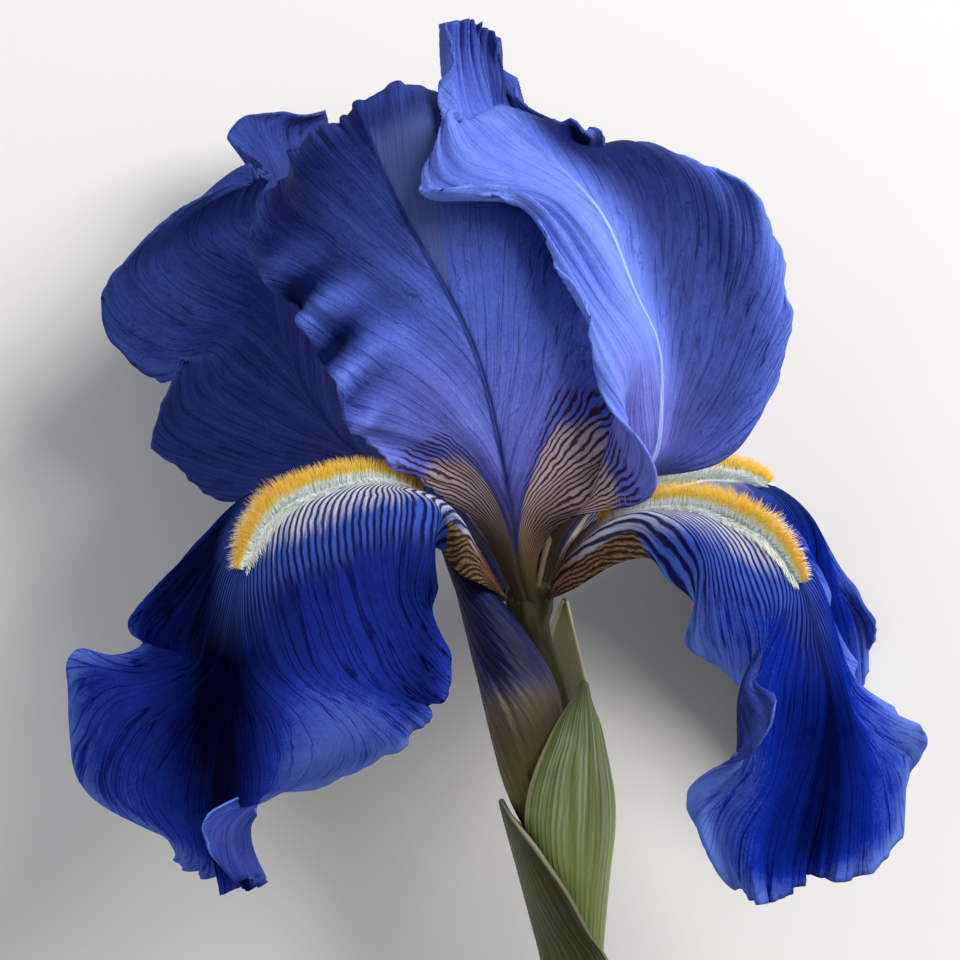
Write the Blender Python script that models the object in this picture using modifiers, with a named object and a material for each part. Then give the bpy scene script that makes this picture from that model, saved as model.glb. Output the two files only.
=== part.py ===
"""A tall bearded iris as cut: one open flower, a bud and their bracts on a stem, lying on its back.

The flower is drawn in a frame of its own, in millimetres: x to its right, y up its axis and z out
of its face, with 0 where the petals meet the perianth tube. The empty flower_frame lays it down.
Each petal and bract is a thin shell through a net of design points. A row of a net runs across the
petal (left edge, left middle, rib, right middle, right edge) and the rows run from base to tip.
"""

import math

import bpy
import numpy as np
from mathutils import Vector

MM = 0.001

# How the cut flower lies: on the back of its petals and on the cut end of its stem.
LAY_PITCH = 12.17
LAY_ROLL = -3.53
REST_SHIFT = (6.27, 42.09, 39.10)

PETAL_THICKNESS = 0.8
BRACT_THICKNESS = 0.7
STYLE_THICKNESS = 0.8
SMOOTH_ANGLE = math.radians(60)

FRONT_STANDARD = (
    ((-1.4, 0, 3.2), (-0.8, 0, 3.8), (0, 0, 4), (0.7, 0, 3.8), (1.3, 0, 3.2)),
    ((-3.8, 4.4, 5), (-2.6, 4.6, 7), (-1.4, 4.7, 8), (-0.2, 4.6, 7.5), (1, 3.8, 5.5)),
    ((-6.9, 10.5, 8), (-4.2, 10.9, 11.5), (-2.3, 11.3, 13), (-0.1, 10.9, 11.5), (3.1, 9.9, 7)),
    ((-13.5, 16, 14), (-8, 18.5, 17), (-3.5, 18.5, 18), (2.5, 18.5, 16), (8.5, 15, 10)),
    ((-22.5, 21.5, 22), (-14.5, 27, 23), (-5.5, 28.5, 22), (4, 28.5, 19), (12, 23, 12)),
    ((-28, 28.5, 28), (-19.5, 36, 26), (-9, 39.5, 25), (1, 40, 22), (11.5, 31.5, 15)),
    ((-33.5, 40.5, 25), (-26, 46.5, 26), (-15, 51, 26), (-4, 52.5, 24), (8, 42.5, 19)),
    ((-40.5, 49, 18), (-31.5, 58, 22), (-21, 62.5, 24), (-11, 64.5, 23), (2.5, 55.5, 20)),
    ((-38.5, 61, 12), (-33, 68.5, 14), (-25.5, 73.5, 15), (-17.5, 77.5, 12), (-9, 69.5, 11.5)),
)
RIGHT_STANDARD = (
    ((1.9, 0.1, 1.3), (2.1, 0.1, 0.7), (2.2, 0.1, 0), (2.1, 0.2, -0.6), (1.9, 0.2, -1.1)),
    ((3.8, 6.8, 4.6), (4, 7.4, 3.6), (4.6, 8.2, 2.2), (5.4, 9, 0.9), (6.2, 9.6, -0.6)),
    ((9.2, 13.4, 12.4), (8.8, 14, 9.4), (9.8, 14.8, 5.8), (11.4, 16, 2.6), (13, 16.8, -1.2)),
    ((16.5, 14.5, 19), (12.5, 18.5, 14), (17.5, 20, 8), (20, 20, 1), (21.5, 19, -6)),
    ((18, 21.5, 23), (14, 26, 17), (19.5, 27.5, 10), (24.5, 25, -4), (31.5, 22.5, -12)),
    ((10.5, 33, 25), (15, 35, 20), (19, 37.5, 13), (27.5, 34, -6), (38.5, 35, -16)),
    ((6.5, 44, 27), (11, 44, 23), (16, 45, 16), (27, 45, -7), (40.5, 45.5, -17)),
    ((2, 53.5, 28), (7, 52.5, 25), (12.5, 54, 18), (24.5, 55, -5), (37.5, 55.5, -16)),
    ((-3.5, 59.5, 31), (2.5, 59, 27), (8.5, 60, 19), (19, 63, 0), (30.5, 65, -12)),
    ((-14, 59, 33), (-4.5, 62, 29), (4, 64.5, 19), (11.5, 67, 8), (18.5, 69, -8)),
    ((-16, 63, 31), (-8.5, 66.5, 28), (0, 68.5, 18), (6.5, 68.5, 12), (11.5, 65, -1)),
    ((-14, 69.5, 28), (-9.5, 71, 25), (-4, 73, 15), (3, 71.5, 12), (11, 69, 9)),
    ((-13, 72.5, 20), (-9.5, 71, 16), (-5, 73, 9), (-1, 73, 9), (3.5, 72, 10)),
    ((-13.5, 78, 15), (-10, 77.5, 11), (-6.5, 79, 8), (-4, 77.5, 6), (-2.5, 76.5, 7)),
    ((-12.5, 86, 11), (-10, 86.5, 8), (-7.5, 86, 7), (-5.5, 85, 6), (-4, 83, 6)),
)
LEFT_STANDARD = (
    ((-2.1, -0.3, -0.6), (-2.2, -0.3, -1.2), (-2.4, -0.3, -1.8), (-2.1, -0.3, -2.4), (-1.6, -0.3, -3)),
    ((-9.3, 7, -4), (-8.7, 7.3, -5.5), (-8, 7.6, -7), (-7, 8, -8.5), (-6.1, 8.5, -10)),
    ((-19.6, 14.1, -7), (-18.1, 14.5, -9), (-16.3, 15.3, -12), (-14.8, 16.2, -15), (-13.3, 17.2, -18)),
    ((-30.5, 17, -10.5), (-27.5, 18.5, -12.5), (-24, 20.5, -16.5), (-21.5, 22.5, -22.5), (-19, 24, -29)),
    ((-44, 14.5, -8.5), (-36.5, 20, -14), (-30.5, 26.5, -21), (-25.5, 29.5, -29.5), (-20.5, 30.5, -37)),
    ((-53, 18.5, -10), (-43, 25.5, -17.5), (-34.5, 33, -25), (-28, 36.5, -35), (-22, 37, -42.5)),
    ((-56.5, 26.5, -11), (-46.5, 32.5, -21.5), (-37, 39.5, -29), (-30, 43.5, -40.5), (-23, 45, -47)),
    ((-52, 37, -14.5), (-46.5, 38, -23.5), (-38.5, 46, -31.5), (-31.5, 49.5, -42.5), (-24, 52.5, -49.5)),
    ((-56, 32.5, -23.5), (-49.5, 42.5, -28), (-39.5, 51.5, -33.5), (-33, 55.5, -43.5), (-25.5, 59, -50.5)),
    ((-64.5, 42.5, -20), (-53.5, 50.5, -28), (-40.5, 56, -33.5), (-34.5, 61.5, -43.5), (-27, 64.5, -49.5)),
    ((-60.5, 53, -19), (-50.5, 57, -28), (-41, 59.5, -32.5), (-36.5, 66.5, -41.5), (-28.5, 69, -47)),
    ((-49.5, 61, -20), (-45, 62.5, -26), (-40.5, 62.5, -30), (-40.5, 70, -38), (-30, 72.5, -45)),
    ((-42, 64.5, -22.5), (-41, 65, -24.5), (-40, 65, -28), (-44.5, 73, -34.5), (-31, 74.5, -41.5)),
)
LEFT_FALL = (
    ((-3.9, -0.1, 0.6), (-3.8, -0.1, 1.6), (-3.3, -0.1, 2.6), (-2.9, -0.1, 3.4), (-2.3, -0.1, 4)),
    ((-8.7, 8.3, 3.5), (-8.2, 8.1, 6), (-7.3, 7.1, 8.5), (-6.2, 4.3, 8.5), (-5.3, 1.6, 6)),
    ((-14.4, 15, 4.5), (-13.6, 14.7, 9), (-12.1, 13.2, 13), (-9, 10.3, 15), (-8.4, 3.1, 10)),
    ((-21, 18, 6), (-20, 17.5, 12), (-18.5, 16.5, 17), (-12, 14, 22), (-11, 5, 12)),
    ((-28.5, 17.5, 7), (-27.5, 17.5, 14), (-25, 17.5, 21), (-14.5, 15, 28), (-13.5, 8, 15)),
    ((-36, 17, 8), (-34, 17, 17), (-31.5, 16, 26), (-15.5, 14.5, 34), (-15.5, 6, 24)),
    ((-42, 15.5, 9), (-40, 15, 20), (-37, 13.5, 30), (-19.5, 10.5, 39), (-13.5, 2.5, 30)),
    ((-48, 10.5, 10), (-44.5, 10, 23), (-40.5, 8.5, 34), (-23.5, 4, 42), (-14.5, -1, 29)),
    ((-54.5, 4, 10), (-48.5, 3, 24), (-42.5, 2, 37), (-26, -3, 43), (-12.5, -7, 28)),
    ((-59, -4, 5), (-51, -5, 24), (-43, -5.5, 39), (-28, -9.5, 43), (-12.5, -13, 27)),
    ((-66, -8, 13), (-53, -12, 27), (-43.5, -14, 40), (-30, -16, 42), (-15.5, -19, 26)),
    ((-69.5, -18, 13), (-56.5, -20, 26), (-44, -21.5, 39), (-33, -21.5, 41), (-22, -23, 27)),
    ((-66, -28.5, 13), (-55, -28, 26), (-44, -29, 37), (-37.5, -27.5, 39), (-33, -26.5, 30)),
    ((-55, -34.5, 17), (-49.5, -34.5, 28), (-43.5, -35, 35), (-39, -32, 38), (-46, -30, 43)),
    ((-53, -38, 19), (-47.5, -40.5, 26), (-41.5, -41.5, 32), (-38, -38, 36), (-46, -37, 43)),
)
RIGHT_FALL = (
    ((2.5, -0.1, 4.6), (3, -0.1, 4), (3.4, -0.1, 3.2), (3.6, -0.1, 2.4), (3.6, -0.1, 1.6)),
    ((7.7, 2.4, 11), (4.7, 4, 10.5), (5, 4.9, 7), (5.4, 6, 4), (6.1, 7.5, 1)),
    ((12.5, 5.4, 17), (8.4, 8.2, 17), (9, 9.4, 11), (9.7, 10.8, 6), (10.8, 12.3, 2)),
    ((18, 6.5, 23), (14, 12, 23), (14, 12.5, 15), (15, 14, 9), (16, 15, 4)),
    ((20.5, 3.5, 28), (19.5, 12, 28), (20, 13.5, 19), (21, 14.5, 12), (22, 15.5, 6)),
    ((24.5, -0.5, 32), (24.5, 9.5, 33), (25.5, 13.5, 23), (27, 14.5, 16), (28.5, 15, 8)),
    ((23, -5.5, 33), (28, 5.5, 36), (30.5, 12, 27), (33, 13, 20), (35, 13, 10)),
    ((27, -9, 33), (31.5, 0, 38), (35, 9.5, 30), (37.5, 10.5, 23), (40, 9.5, 12)),
    ((31, -12, 33), (34.5, -5, 38), (38.5, 5, 32), (41, 6, 25), (43, 4.5, 14)),
    ((34.5, -13.5, 40), (33.5, -10.5, 38), (41, 0, 33), (43.5, -0.5, 26), (45.5, -2.5, 16)),
    ((35, -16, 43), (33, -16, 37), (42.5, -6.5, 34), (45.5, -7.5, 26), (47.5, -8.5, 16)),
    ((31, -21.5, 38), (34.5, -21, 36), (44, -14, 34), (47.5, -14, 27), (50.5, -13, 18)),
    ((23.5, -27, 34), (34, -27, 35), (44, -21.5, 33), (50, -20, 28), (56, -18, 21)),
    ((24, -33.5, 32), (34, -33.5, 34), (43, -29.5, 31), (50.5, -28, 27), (58.5, -22.5, 21)),
    ((30.5, -42, 31), (36, -44, 33), (41, -40.5, 27), (47.5, -41, 26), (55.5, -35, 20)),
)
BACK_FALL = (
    ((2.3, -0.2, -1.2), (2.7, -0.2, -2.2), (2.6, -0.2, -3.4), (2.3, -0.2, -4.2), (1.7, -0.2, -4.8)),
    ((8.6, 3.4, -2), (6.7, 5.3, -6), (6.2, 5.9, -9), (5.8, 7, -12), (5.4, 8.2, -14)),
    ((13.9, 7.6, -6), (11.6, 10.4, -13), (11.3, 11, -17), (10.7, 12.4, -21), (9.9, 13.9, -24)),
    ((19, 10, -9.5), (17, 14, -19), (16.5, 15, -23), (16.5, 16, -27.5), (16, 17, -31.5)),
    ((24.5, 9, -12.5), (22.5, 16, -24.5), (22.5, 17, -28), (23, 17.5, -33.5), (23.5, 17.5, -38)),
    ((28.5, 6, -14.5), (27.5, 16.5, -27), (29, 18, -31.5), (30, 18, -36.5), (31, 17, -41)),
    ((32, 1.5, -16), (33, 14, -28), (35, 17.5, -33), (37, 16.5, -37.5), (38, 14, -41)),
    ((34, -3.5, -18.5), (36.5, 9, -29.5), (40.5, 14.5, -35), (42.5, 12.5, -39), (43.5, 9.5, -41.5)),
    ((36, -8.5, -21), (39, 2, -30.5), (44, 8.5, -36), (46.5, 5.5, -39), (48.5, 1.5, -40)),
    ((38, -15, -23), (41, -5, -31), (44.5, 1, -36), (49.5, -2, -38.5), (53.5, -3.5, -39)),
    ((38.5, -21, -25), (42, -13, -31), (45.5, -6.5, -36), (49.5, -9, -38.5), (53, -10.5, -40)),
    ((39.5, -26.5, -26.5), (42.5, -19.5, -31), (45.5, -14.5, -35), (49, -17, -37.5), (52, -18.5, -39)),
    ((41, -31, -27), (43, -29.5, -29.5), (45, -23, -33.5), (48, -26, -35), (50, -24.5, -37)),
)
FRONT_BRACT = (
    ((7.9, -12.5, 6.2), (8.1, -12.2, 6.6), (8.3, -12, 6.8), (8.6, -12.2, 6.6), (8.8, -12.5, 6.2)),
    ((6.4, -15.1, 7.6), (7.3, -15, 8.2), (8.6, -14.8, 8.2), (9.3, -15.1, 6.8), (9.5, -15.8, 5.4)),
    ((4.6, -17.8, 9), (6.2, -17.6, 9.9), (8.8, -17.5, 9.2), (10.3, -17.8, 6.5), (10.5, -18.7, 3.4)),
    ((2.9, -20.9, 10.8), (5.3, -20.8, 11.8), (8.9, -20.7, 10.3), (11.1, -21, 6), (11.1, -21.7, 1.5)),
    ((1.1, -24.9, 11.6), (4.1, -24.8, 12.4), (8.9, -24.6, 10.8), (11.9, -24.9, 5), (11.6, -25.7, -1)),
    ((-0.2, -29.7, 9.8), (3.2, -29.6, 11.4), (8.9, -29.5, 9.8), (12.7, -29.9, 3.8), (11.9, -30.5, -3)),
    ((-0.3, -35, 7), (2.9, -34.9, 9), (8.8, -35, 8.2), (12.7, -35.2, 2.6), (11.4, -35.7, -4)),
    ((1.0, -40.3, 4.9), (3.4, -40.2, 6.9), (8.6, -40.3, 6.4), (12.1, -40.4, 1.8), (10.9, -40.8, -4.2)),
    ((2.4, -46.4, 2.6), (4.4, -46.3, 4.8), (8.3, -46.3, 4.8), (11.5, -46.5, 1), (10.4, -46.8, -3.8)),
    ((3.3, -52.4, 0.4), (4.9, -52.3, 3.0), (8.1, -52.3, 3.4), (11, -52.5, 0.4), (10.3, -52.8, -3.2)),
    ((3.7, -57.7, 0.4), (5.1, -57.6, 2.8), (8, -57.6, 3.2), (11.1, -57.7, 0.2), (10.4, -57.9, -2.9)),
)
REAR_BRACT = (
    ((5.3, -0.2, -4.4), (5.4, 0.1, -4.6), (5.6, 0.2, -4.7), (5.7, 0.1, -4.6), (5.9, -0.2, -4.4)),
    ((4.1, -2.5, -4.8), (4.8, -2.5, -5.4), (5.7, -2.3, -5.6), (6.3, -2.8, -5.2), (6.6, -3.4, -4.6)),
    ((2.9, -5.8, -5.2), (4.1, -5.8, -6.4), (5.8, -5.7, -6.8), (7.1, -6.1, -6), (7.3, -6.5, -4.8)),
    ((2, -9.9, -6), (3.8, -9.9, -7.6), (6.1, -9.9, -7.8), (8, -10.2, -6.4), (8.2, -10.4, -4.8)),
    ((0.9, -15.1, -6.6), (3.4, -15.2, -8.4), (6.4, -15.2, -8.6), (9.1, -15.3, -6.6), (9.3, -15.7, -4.2)),
    ((-0.3, -22.7, -6.2), (2.8, -22.7, -8.8), (6.5, -22.7, -9), (10, -22.7, -7), (10.6, -22.9, -4.4)),
    ((-0.6, -30.2, -5), (2.6, -30.3, -8.2), (6.7, -30.3, -8.6), (9.7, -30.2, -7), (10.7, -30.3, -5.2)),
    ((0.6, -37.6, -3.6), (2.9, -37.7, -6), (6.1, -37.7, -6.6), (8.5, -37.7, -6), (9.5, -37.7, -5)),
    ((3, -45.9, -3.2), (4.5, -46, -4.8), (6.6, -46, -5.3), (8.5, -46, -4.9), (9.5, -45.9, -4)),
)
LOWER_SHEATH = (
    ((-3.9, -29.7, 3.4), (-4.1, -29.9, 2.6), (-4.2, -30.1, 1.6), (-4.1, -30.3, 0.6), (-3.9, -30.5, -0.2)),
    ((-1.8, -33, 8.4), (-3, -32.8, 6), (-3.6, -32.6, 1.5), (-3, -33.1, -3), (-1.5, -33.5, -6.4)),
    ((0.8, -36.1, 10.2), (-1.5, -36, 7.6), (-2.6, -36.3, 1.2), (-1.3, -36.5, -4.6), (1.8, -36.7, -8.2)),
    ((3.7, -40.1, 9.2), (0.0, -39.9, 7.8), (-1.6, -39.9, 0.6), (0.3, -40.4, -5.8), (4.9, -40.8, -8.4)),
    ((6.7, -44.7, 7.6), (2, -44.4, 7), (-0.4, -44.4, 0.2), (2.1, -44.9, -5.8), (7.1, -45.3, -7.2)),
    ((9.5, -50, 5.4), (4.6, -49.3, 5.9), (0.9, -49.2, 0), (3.6, -49.7, -5.2), (9.4, -50.2, -5.8)),
    ((12, -54.2, 1.8), (6.9, -53.5, 5.4), (2, -53.5, 0), (5.7, -53.9, -5.2), (11.7, -54.5, -3.8)),
    ((12.7, -60, 1), (8, -59.7, 5), (3, -60, 0), (7.2, -60.3, -5), (12.5, -60.1, -2.6)),
    ((13.2, -69, 0.8), (8.8, -68.7, 4.8), (3.9, -69, 0), (8.2, -69.3, -4.8), (13, -69.1, -2)),
    ((14.3, -79.4, 0.8), (9.6, -79.2, 4.9), (4.7, -79.5, 0), (9.2, -79.8, -4.9), (14.1, -79.6, -1.6)),
)

# Tubes and stems: centre (x, y, z) and radius at each station.
OVARY = (
    (0.1, -1.3, 0.0, 3.6),
    (0.4, -4.0, -0.1, 2.9),
    (1.8, -8.0, -0.7, 2.3),
    (3.4, -12.5, -1.7, 2.3),
    (4.6, -18.0, -2.6, 2.5),
    (5.4, -25.0, -3.0, 2.7),
    (6.0, -32.0, -2.6, 2.6),
    (6.5, -39.0, -1.9, 2.3),
)
STEM = (
    (6.6, -39.5, -1.8, 2.3),
    (7.0, -47.0, -1.0, 2.5),
    (7.4, -54.0, -0.5, 2.5),
    (8.0, -62.0, -0.2, 2.9),
    (9.4, -78.0, 0.0, 3.7),
    (11.4, -105.0, 0.0, 4.0),
    (13.4, -135.0, 0.0, 4.2),
    (15.0, -170.0, 0.0, 4.4),
)
BUD = (
    (-12.8, 8.6, 1.8, 0.5),
    (-10.6, 5.2, 2.4, 1.6),
    (-8.4, 1.6, 3.2, 2.5),
    (-5.6, -4.0, 4.6, 3.9),
    (-2.8, -10.0, 5.6, 5.1),
    (-0.9, -16.0, 6.0, 5.6),
    (-0.2, -22.0, 5.6, 5.0),
    (0.4, -28.0, 4.4, 3.8),
    (1.8, -33.0, 3.2, 2.7),
    (3.4, -37.5, 2.2, 1.9),
)
TUBE_POINTS_PER_STATION = 3
ROUND_RESOLUTION = 5

# Style arms: each arches over the haft of its fall and ends in an upright, two-lobed crest.
STYLE_ARMS = {
    "left": ((-0.9, 1.2, 1.2), (-3.4, 6.0, 1.4), (-6.2, 11.0, 1.2), (-9.0, 15.8, 0.6), (-11.0, 20.5, 0.2)),
    "right": ((0.8, 1.2, 0.6), (1.6, 6.0, 0.2), (3.0, 11.0, -0.4), (5.2, 16.5, -0.8), (7.6, 22.0, -1.0)),
    "back": ((1.0, 1.2, -1.6), (2.6, 6.0, -5.0), (4.4, 11.5, -8.6), (6.4, 17.5, -12.0), (8.6, 22.5, -14.0)),
}
STYLE_ACROSS = {"left": (0.35, 0.1, 1.0), "right": (-0.35, 0.1, 1.0), "back": (1.0, 0.0, 0.4)}
STYLE_HALF_WIDTHS = (1.0, 1.8, 2.6, 3.2, 2.4)
STYLE_CUP = 0.25

# Stamens: a filament and its long anther, under each style arm.
STAMENS = {
    "left": ((-1.6, 1.6, 3.0), (-4.4, 7.0, 4.6), (-7.2, 12.0, 5.0), (-9.8, 16.6, 5.0)),
    "right": ((1.4, 2.0, 2.4), (2.6, 7.5, 4.2), (4.0, 12.5, 5.2), (5.8, 17.0, 5.6)),
    "back": ((2.4, 2.6, -4.4), (4.6, 7.0, -8.4), (7.0, 11.0, -12.0), (9.6, 14.6, -15.0)),
}
FILAMENT_RADIUS = 0.5
ANTHER_RADIUS = 0.9

# Beards: a crest of hairs along each fall's rib, between two places from its base (0) to its tip (1).
BEARDS = {
    "left": (0.20, 0.54, 4.6),
    "right": (0.20, 0.58, 4.4),
    "back": (0.20, 0.50, 4.2),
}
BEARD_HALF_WIDTH = 1.6
BEARD_GAP = 0.35
BEARD_STATIONS = 26

PERIWINKLE = (0.16, 0.22, 0.72)
ULTRAMARINE = (0.02, 0.04, 0.42)
GOLD = (0.85, 0.42, 0.03)
STYLE_VIOLET = (0.30, 0.26, 0.50)
CREAM = (0.80, 0.75, 0.60)
LEAF_GREEN = (0.20, 0.34, 0.10)
PAPERY_GREEN = (0.42, 0.42, 0.24)
TUBE_OLIVE = (0.10, 0.11, 0.05)
BUD_NAVY = (0.05, 0.05, 0.20)
PETAL_ROUGHNESS = 0.55
GREEN_ROUGHNESS = 0.45


def clear_scene():
    """Take the startup objects out."""
    for old in list(bpy.data.objects):
        bpy.data.objects.remove(old, do_unlink=True)


def spline_weights(count, places):
    """Weights that read a natural cubic spline through `count` even knots at the given places."""
    slopes = np.eye(count)
    sides = np.zeros((count, count))
    for i in range(1, count - 1):
        slopes[i, i - 1:i + 2] = (1, 4, 1)
        sides[i, i - 1:i + 2] = (6, -12, 6)
    bend = np.linalg.solve(slopes, sides)
    low = np.clip(places.astype(int), 0, count - 2)
    part = (places - low)[:, None]
    knots = np.eye(count)
    return ((1 - part) * knots[low] + part * knots[low + 1]
            + ((1 - part) ** 3 - (1 - part)) / 6 * bend[low]
            + (part ** 3 - part) / 6 * bend[low + 1])


def net_surface(rows, along, across):
    """A smooth surface through the net, read at `along` places base to tip and `across` left to right.

    The places are given from 0 to 1.
    """
    net = np.array(rows, float)
    down = spline_weights(net.shape[0], np.asarray(along) * (net.shape[0] - 1))
    over = spline_weights(net.shape[1], np.asarray(across) * (net.shape[1] - 1))
    return np.einsum("ai,bj,ijk->abk", down, over, net)


def finish(name, colour, roughness):
    """A plain Principled material."""
    material = bpy.data.materials.new(name)
    material.use_nodes = True
    shader = material.node_tree.nodes["Principled BSDF"]
    shader.inputs["Base Color"].default_value = (*colour, 1.0)
    shader.inputs["Roughness"].default_value = roughness
    shader.inputs["Metallic"].default_value = 0.0
    return material


def add_object(name, data, material):
    """Put a mesh or curve in the iris, in the flower's frame."""
    data.materials.append(material)
    thing = bpy.data.objects.new(name, data)
    thing.parent = bpy.data.objects["flower_frame"]
    bpy.data.collections["iris_flower"].objects.link(thing)
    return thing


def grid_faces(along, across):
    """The quads of a grid of points, row by row."""
    first = np.arange((along - 1) * across).reshape(along - 1, across)[:, :-1].ravel()
    return np.stack([first, first + 1, first + across + 1, first + across], 1)


def add_shell(name, rows, thickness, material, steps=2, across=11):
    """A thin shell through a net of design points, with the same thickness on both sides."""
    along = (len(rows) - 1) * steps + 1
    points = net_surface(rows, np.linspace(0, 1, along), np.linspace(0, 1, across))
    mesh = bpy.data.meshes.new(name)
    mesh.from_pydata((points.reshape(-1, 3) * MM).tolist(), [], grid_faces(along, across).tolist())
    mesh.shade_smooth()
    thing = add_object(name, mesh, material)
    solidify = thing.modifiers.new("thickness", "SOLIDIFY")
    solidify.thickness = thickness * MM
    solidify.offset = 0.0
    return thing


def add_tube(name, stations, material):
    """A closed round tube through stations of centre and radius, smooth between them."""
    stations = np.array(stations, float)
    count = (len(stations) - 1) * TUBE_POINTS_PER_STATION + 1
    smooth = spline_weights(len(stations), np.linspace(0, len(stations) - 1, count)) @ stations
    curve = bpy.data.curves.new(name, "CURVE")
    curve.dimensions = "3D"
    curve.bevel_depth = MM
    curve.bevel_resolution = ROUND_RESOLUTION
    curve.use_fill_caps = True
    spline = curve.splines.new("POLY")
    spline.points.add(count - 1)
    for point, (x, y, z, radius) in zip(spline.points, smooth):
        point.co = (x * MM, y * MM, z * MM, 1.0)
        point.radius = radius
    return add_object(name, curve, material)


def strap_net(centres, across, half_widths, cup):
    """A net for a strap along a centre line, cupped so that its edges turn to one side."""
    centres = np.array(centres, float)
    tangents = np.gradient(centres, axis=0)
    side = np.array(Vector(across).normalized())
    rows = []
    for centre, tangent, half in zip(centres, tangents, half_widths):
        out = np.cross(tangent, side)
        out /= np.linalg.norm(out)
        rows.append([centre + side * half * v + out * cup * half * v * v for v in (-1, -0.5, 0, 0.5, 1)])
    return rows


def add_style_arm(side, material):
    """One style arm: a cupped strap that narrows into its crest."""
    rows = strap_net(STYLE_ARMS[side], STYLE_ACROSS[side], STYLE_HALF_WIDTHS, STYLE_CUP)
    add_shell("style_arm_" + side, rows, STYLE_THICKNESS, material, steps=3, across=7)


def add_stamen(side, material):
    """One stamen: the anther is the upper half of the line, thicker than the filament."""
    line = np.array(STAMENS[side])
    radii = (FILAMENT_RADIUS, FILAMENT_RADIUS, ANTHER_RADIUS, FILAMENT_RADIUS)
    add_tube("stamen_" + side, np.column_stack([line, radii]), material)


def add_beard(side, fall_rows, material):
    """A crest along the fall's rib: lens-shaped sections that rise and sink like half an ellipse."""
    start, end, height = BEARDS[side]
    along = np.linspace(start, end, BEARD_STATIONS)
    patch = net_surface(fall_rows, along, (0.49, 0.5, 0.51))
    rib = patch[:, 1]
    beside = patch[:, 2] - patch[:, 0]
    beside /= np.linalg.norm(beside, axis=1, keepdims=True)
    out = np.cross(np.gradient(rib, axis=0), beside)
    out /= np.linalg.norm(out, axis=1, keepdims=True)
    rise = np.sin(np.pi * np.linspace(0.04, 0.96, BEARD_STATIONS))[:, None] ** 0.6
    foot = rib + out * (PETAL_THICKNESS / 2 + BEARD_GAP)
    wide = beside * BEARD_HALF_WIDTH * rise
    tall = out * height * rise
    section = ((0, 0), (0.8, 0.12), (1, 0.45), (0.5, 0.85), (0, 1), (-0.5, 0.85), (-1, 0.45), (-0.8, 0.12))
    rings = np.stack([foot + wide * x + tall * y for x, y in section], 1)
    sides = len(section)
    faces = []
    for i in range(BEARD_STATIONS - 1):
        for j in range(sides):
            k = (j + 1) % sides
            faces.append((i * sides + j, i * sides + k, (i + 1) * sides + k, (i + 1) * sides + j))
    last = (BEARD_STATIONS - 1) * sides
    faces.append(tuple(reversed(range(sides))))
    faces.append(tuple(range(last, last + sides)))
    mesh = bpy.data.meshes.new("beard_" + side)
    mesh.from_pydata((rings.reshape(-1, 3) * MM).tolist(), [], faces)
    mesh.shade_smooth()
    mesh.set_sharp_from_angle(angle=SMOOTH_ANGLE)
    add_object("beard_" + side, mesh, material)


def build_iris():
    clear_scene()
    collection = bpy.data.collections.new("iris_flower")
    bpy.context.scene.collection.children.link(collection)
    frame = bpy.data.objects.new("flower_frame", None)
    frame.rotation_euler = (math.radians(LAY_PITCH), math.radians(LAY_ROLL), 0.0)
    frame.location = tuple(v * MM for v in REST_SHIFT)
    collection.objects.link(frame)

    falls = {"left": LEFT_FALL, "right": RIGHT_FALL, "back": BACK_FALL}
    fall_finish = finish("fall_blue", ULTRAMARINE, PETAL_ROUGHNESS)
    beard_finish = finish("beard_gold", GOLD, 0.8)
    style_finish = finish("style_violet", STYLE_VIOLET, PETAL_ROUGHNESS)
    stamen_finish = finish("stamen_cream", CREAM, 0.7)
    for side, rows in falls.items():
        add_shell("fall_" + side, rows, PETAL_THICKNESS, fall_finish)
        add_beard(side, rows, beard_finish)
        add_style_arm(side, style_finish)
        add_stamen(side, stamen_finish)

    standard_finish = finish("standard_blue", PERIWINKLE, PETAL_ROUGHNESS)
    standards = {"front": FRONT_STANDARD, "right": RIGHT_STANDARD, "left": LEFT_STANDARD}
    for side, rows in standards.items():
        add_shell("standard_" + side, rows, PETAL_THICKNESS, standard_finish)

    green_finish = finish("bract_green", LEAF_GREEN, GREEN_ROUGHNESS)
    papery_finish = finish("bract_papery", PAPERY_GREEN, 0.6)
    add_shell("bract_front", FRONT_BRACT, BRACT_THICKNESS, green_finish)
    add_shell("bract_rear", REAR_BRACT, BRACT_THICKNESS, papery_finish)
    add_shell("stem_sheath", LOWER_SHEATH, BRACT_THICKNESS, green_finish)
    add_tube("ovary", OVARY, finish("ovary_olive", TUBE_OLIVE, GREEN_ROUGHNESS))
    add_tube("stem", STEM, finish("stem_green", LEAF_GREEN, GREEN_ROUGHNESS))
    add_tube("bud", BUD, finish("bud_navy", BUD_NAVY, PETAL_ROUGHNESS))


if __name__ == "__main__":
    build_iris()
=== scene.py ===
"""A cut bearded iris on its back: ruffled petals, beards of hair, a furled bud, bracts and the stem.

Everything is drawn in the flower's own frame, in millimetres: x to its right, y up its axis and z
out of its face, with 0 where the petals meet the perianth tube. LAY turns that frame into the
part's, where the flower lies on the backs of its petals and the cut end of its stem.
"""

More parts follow.
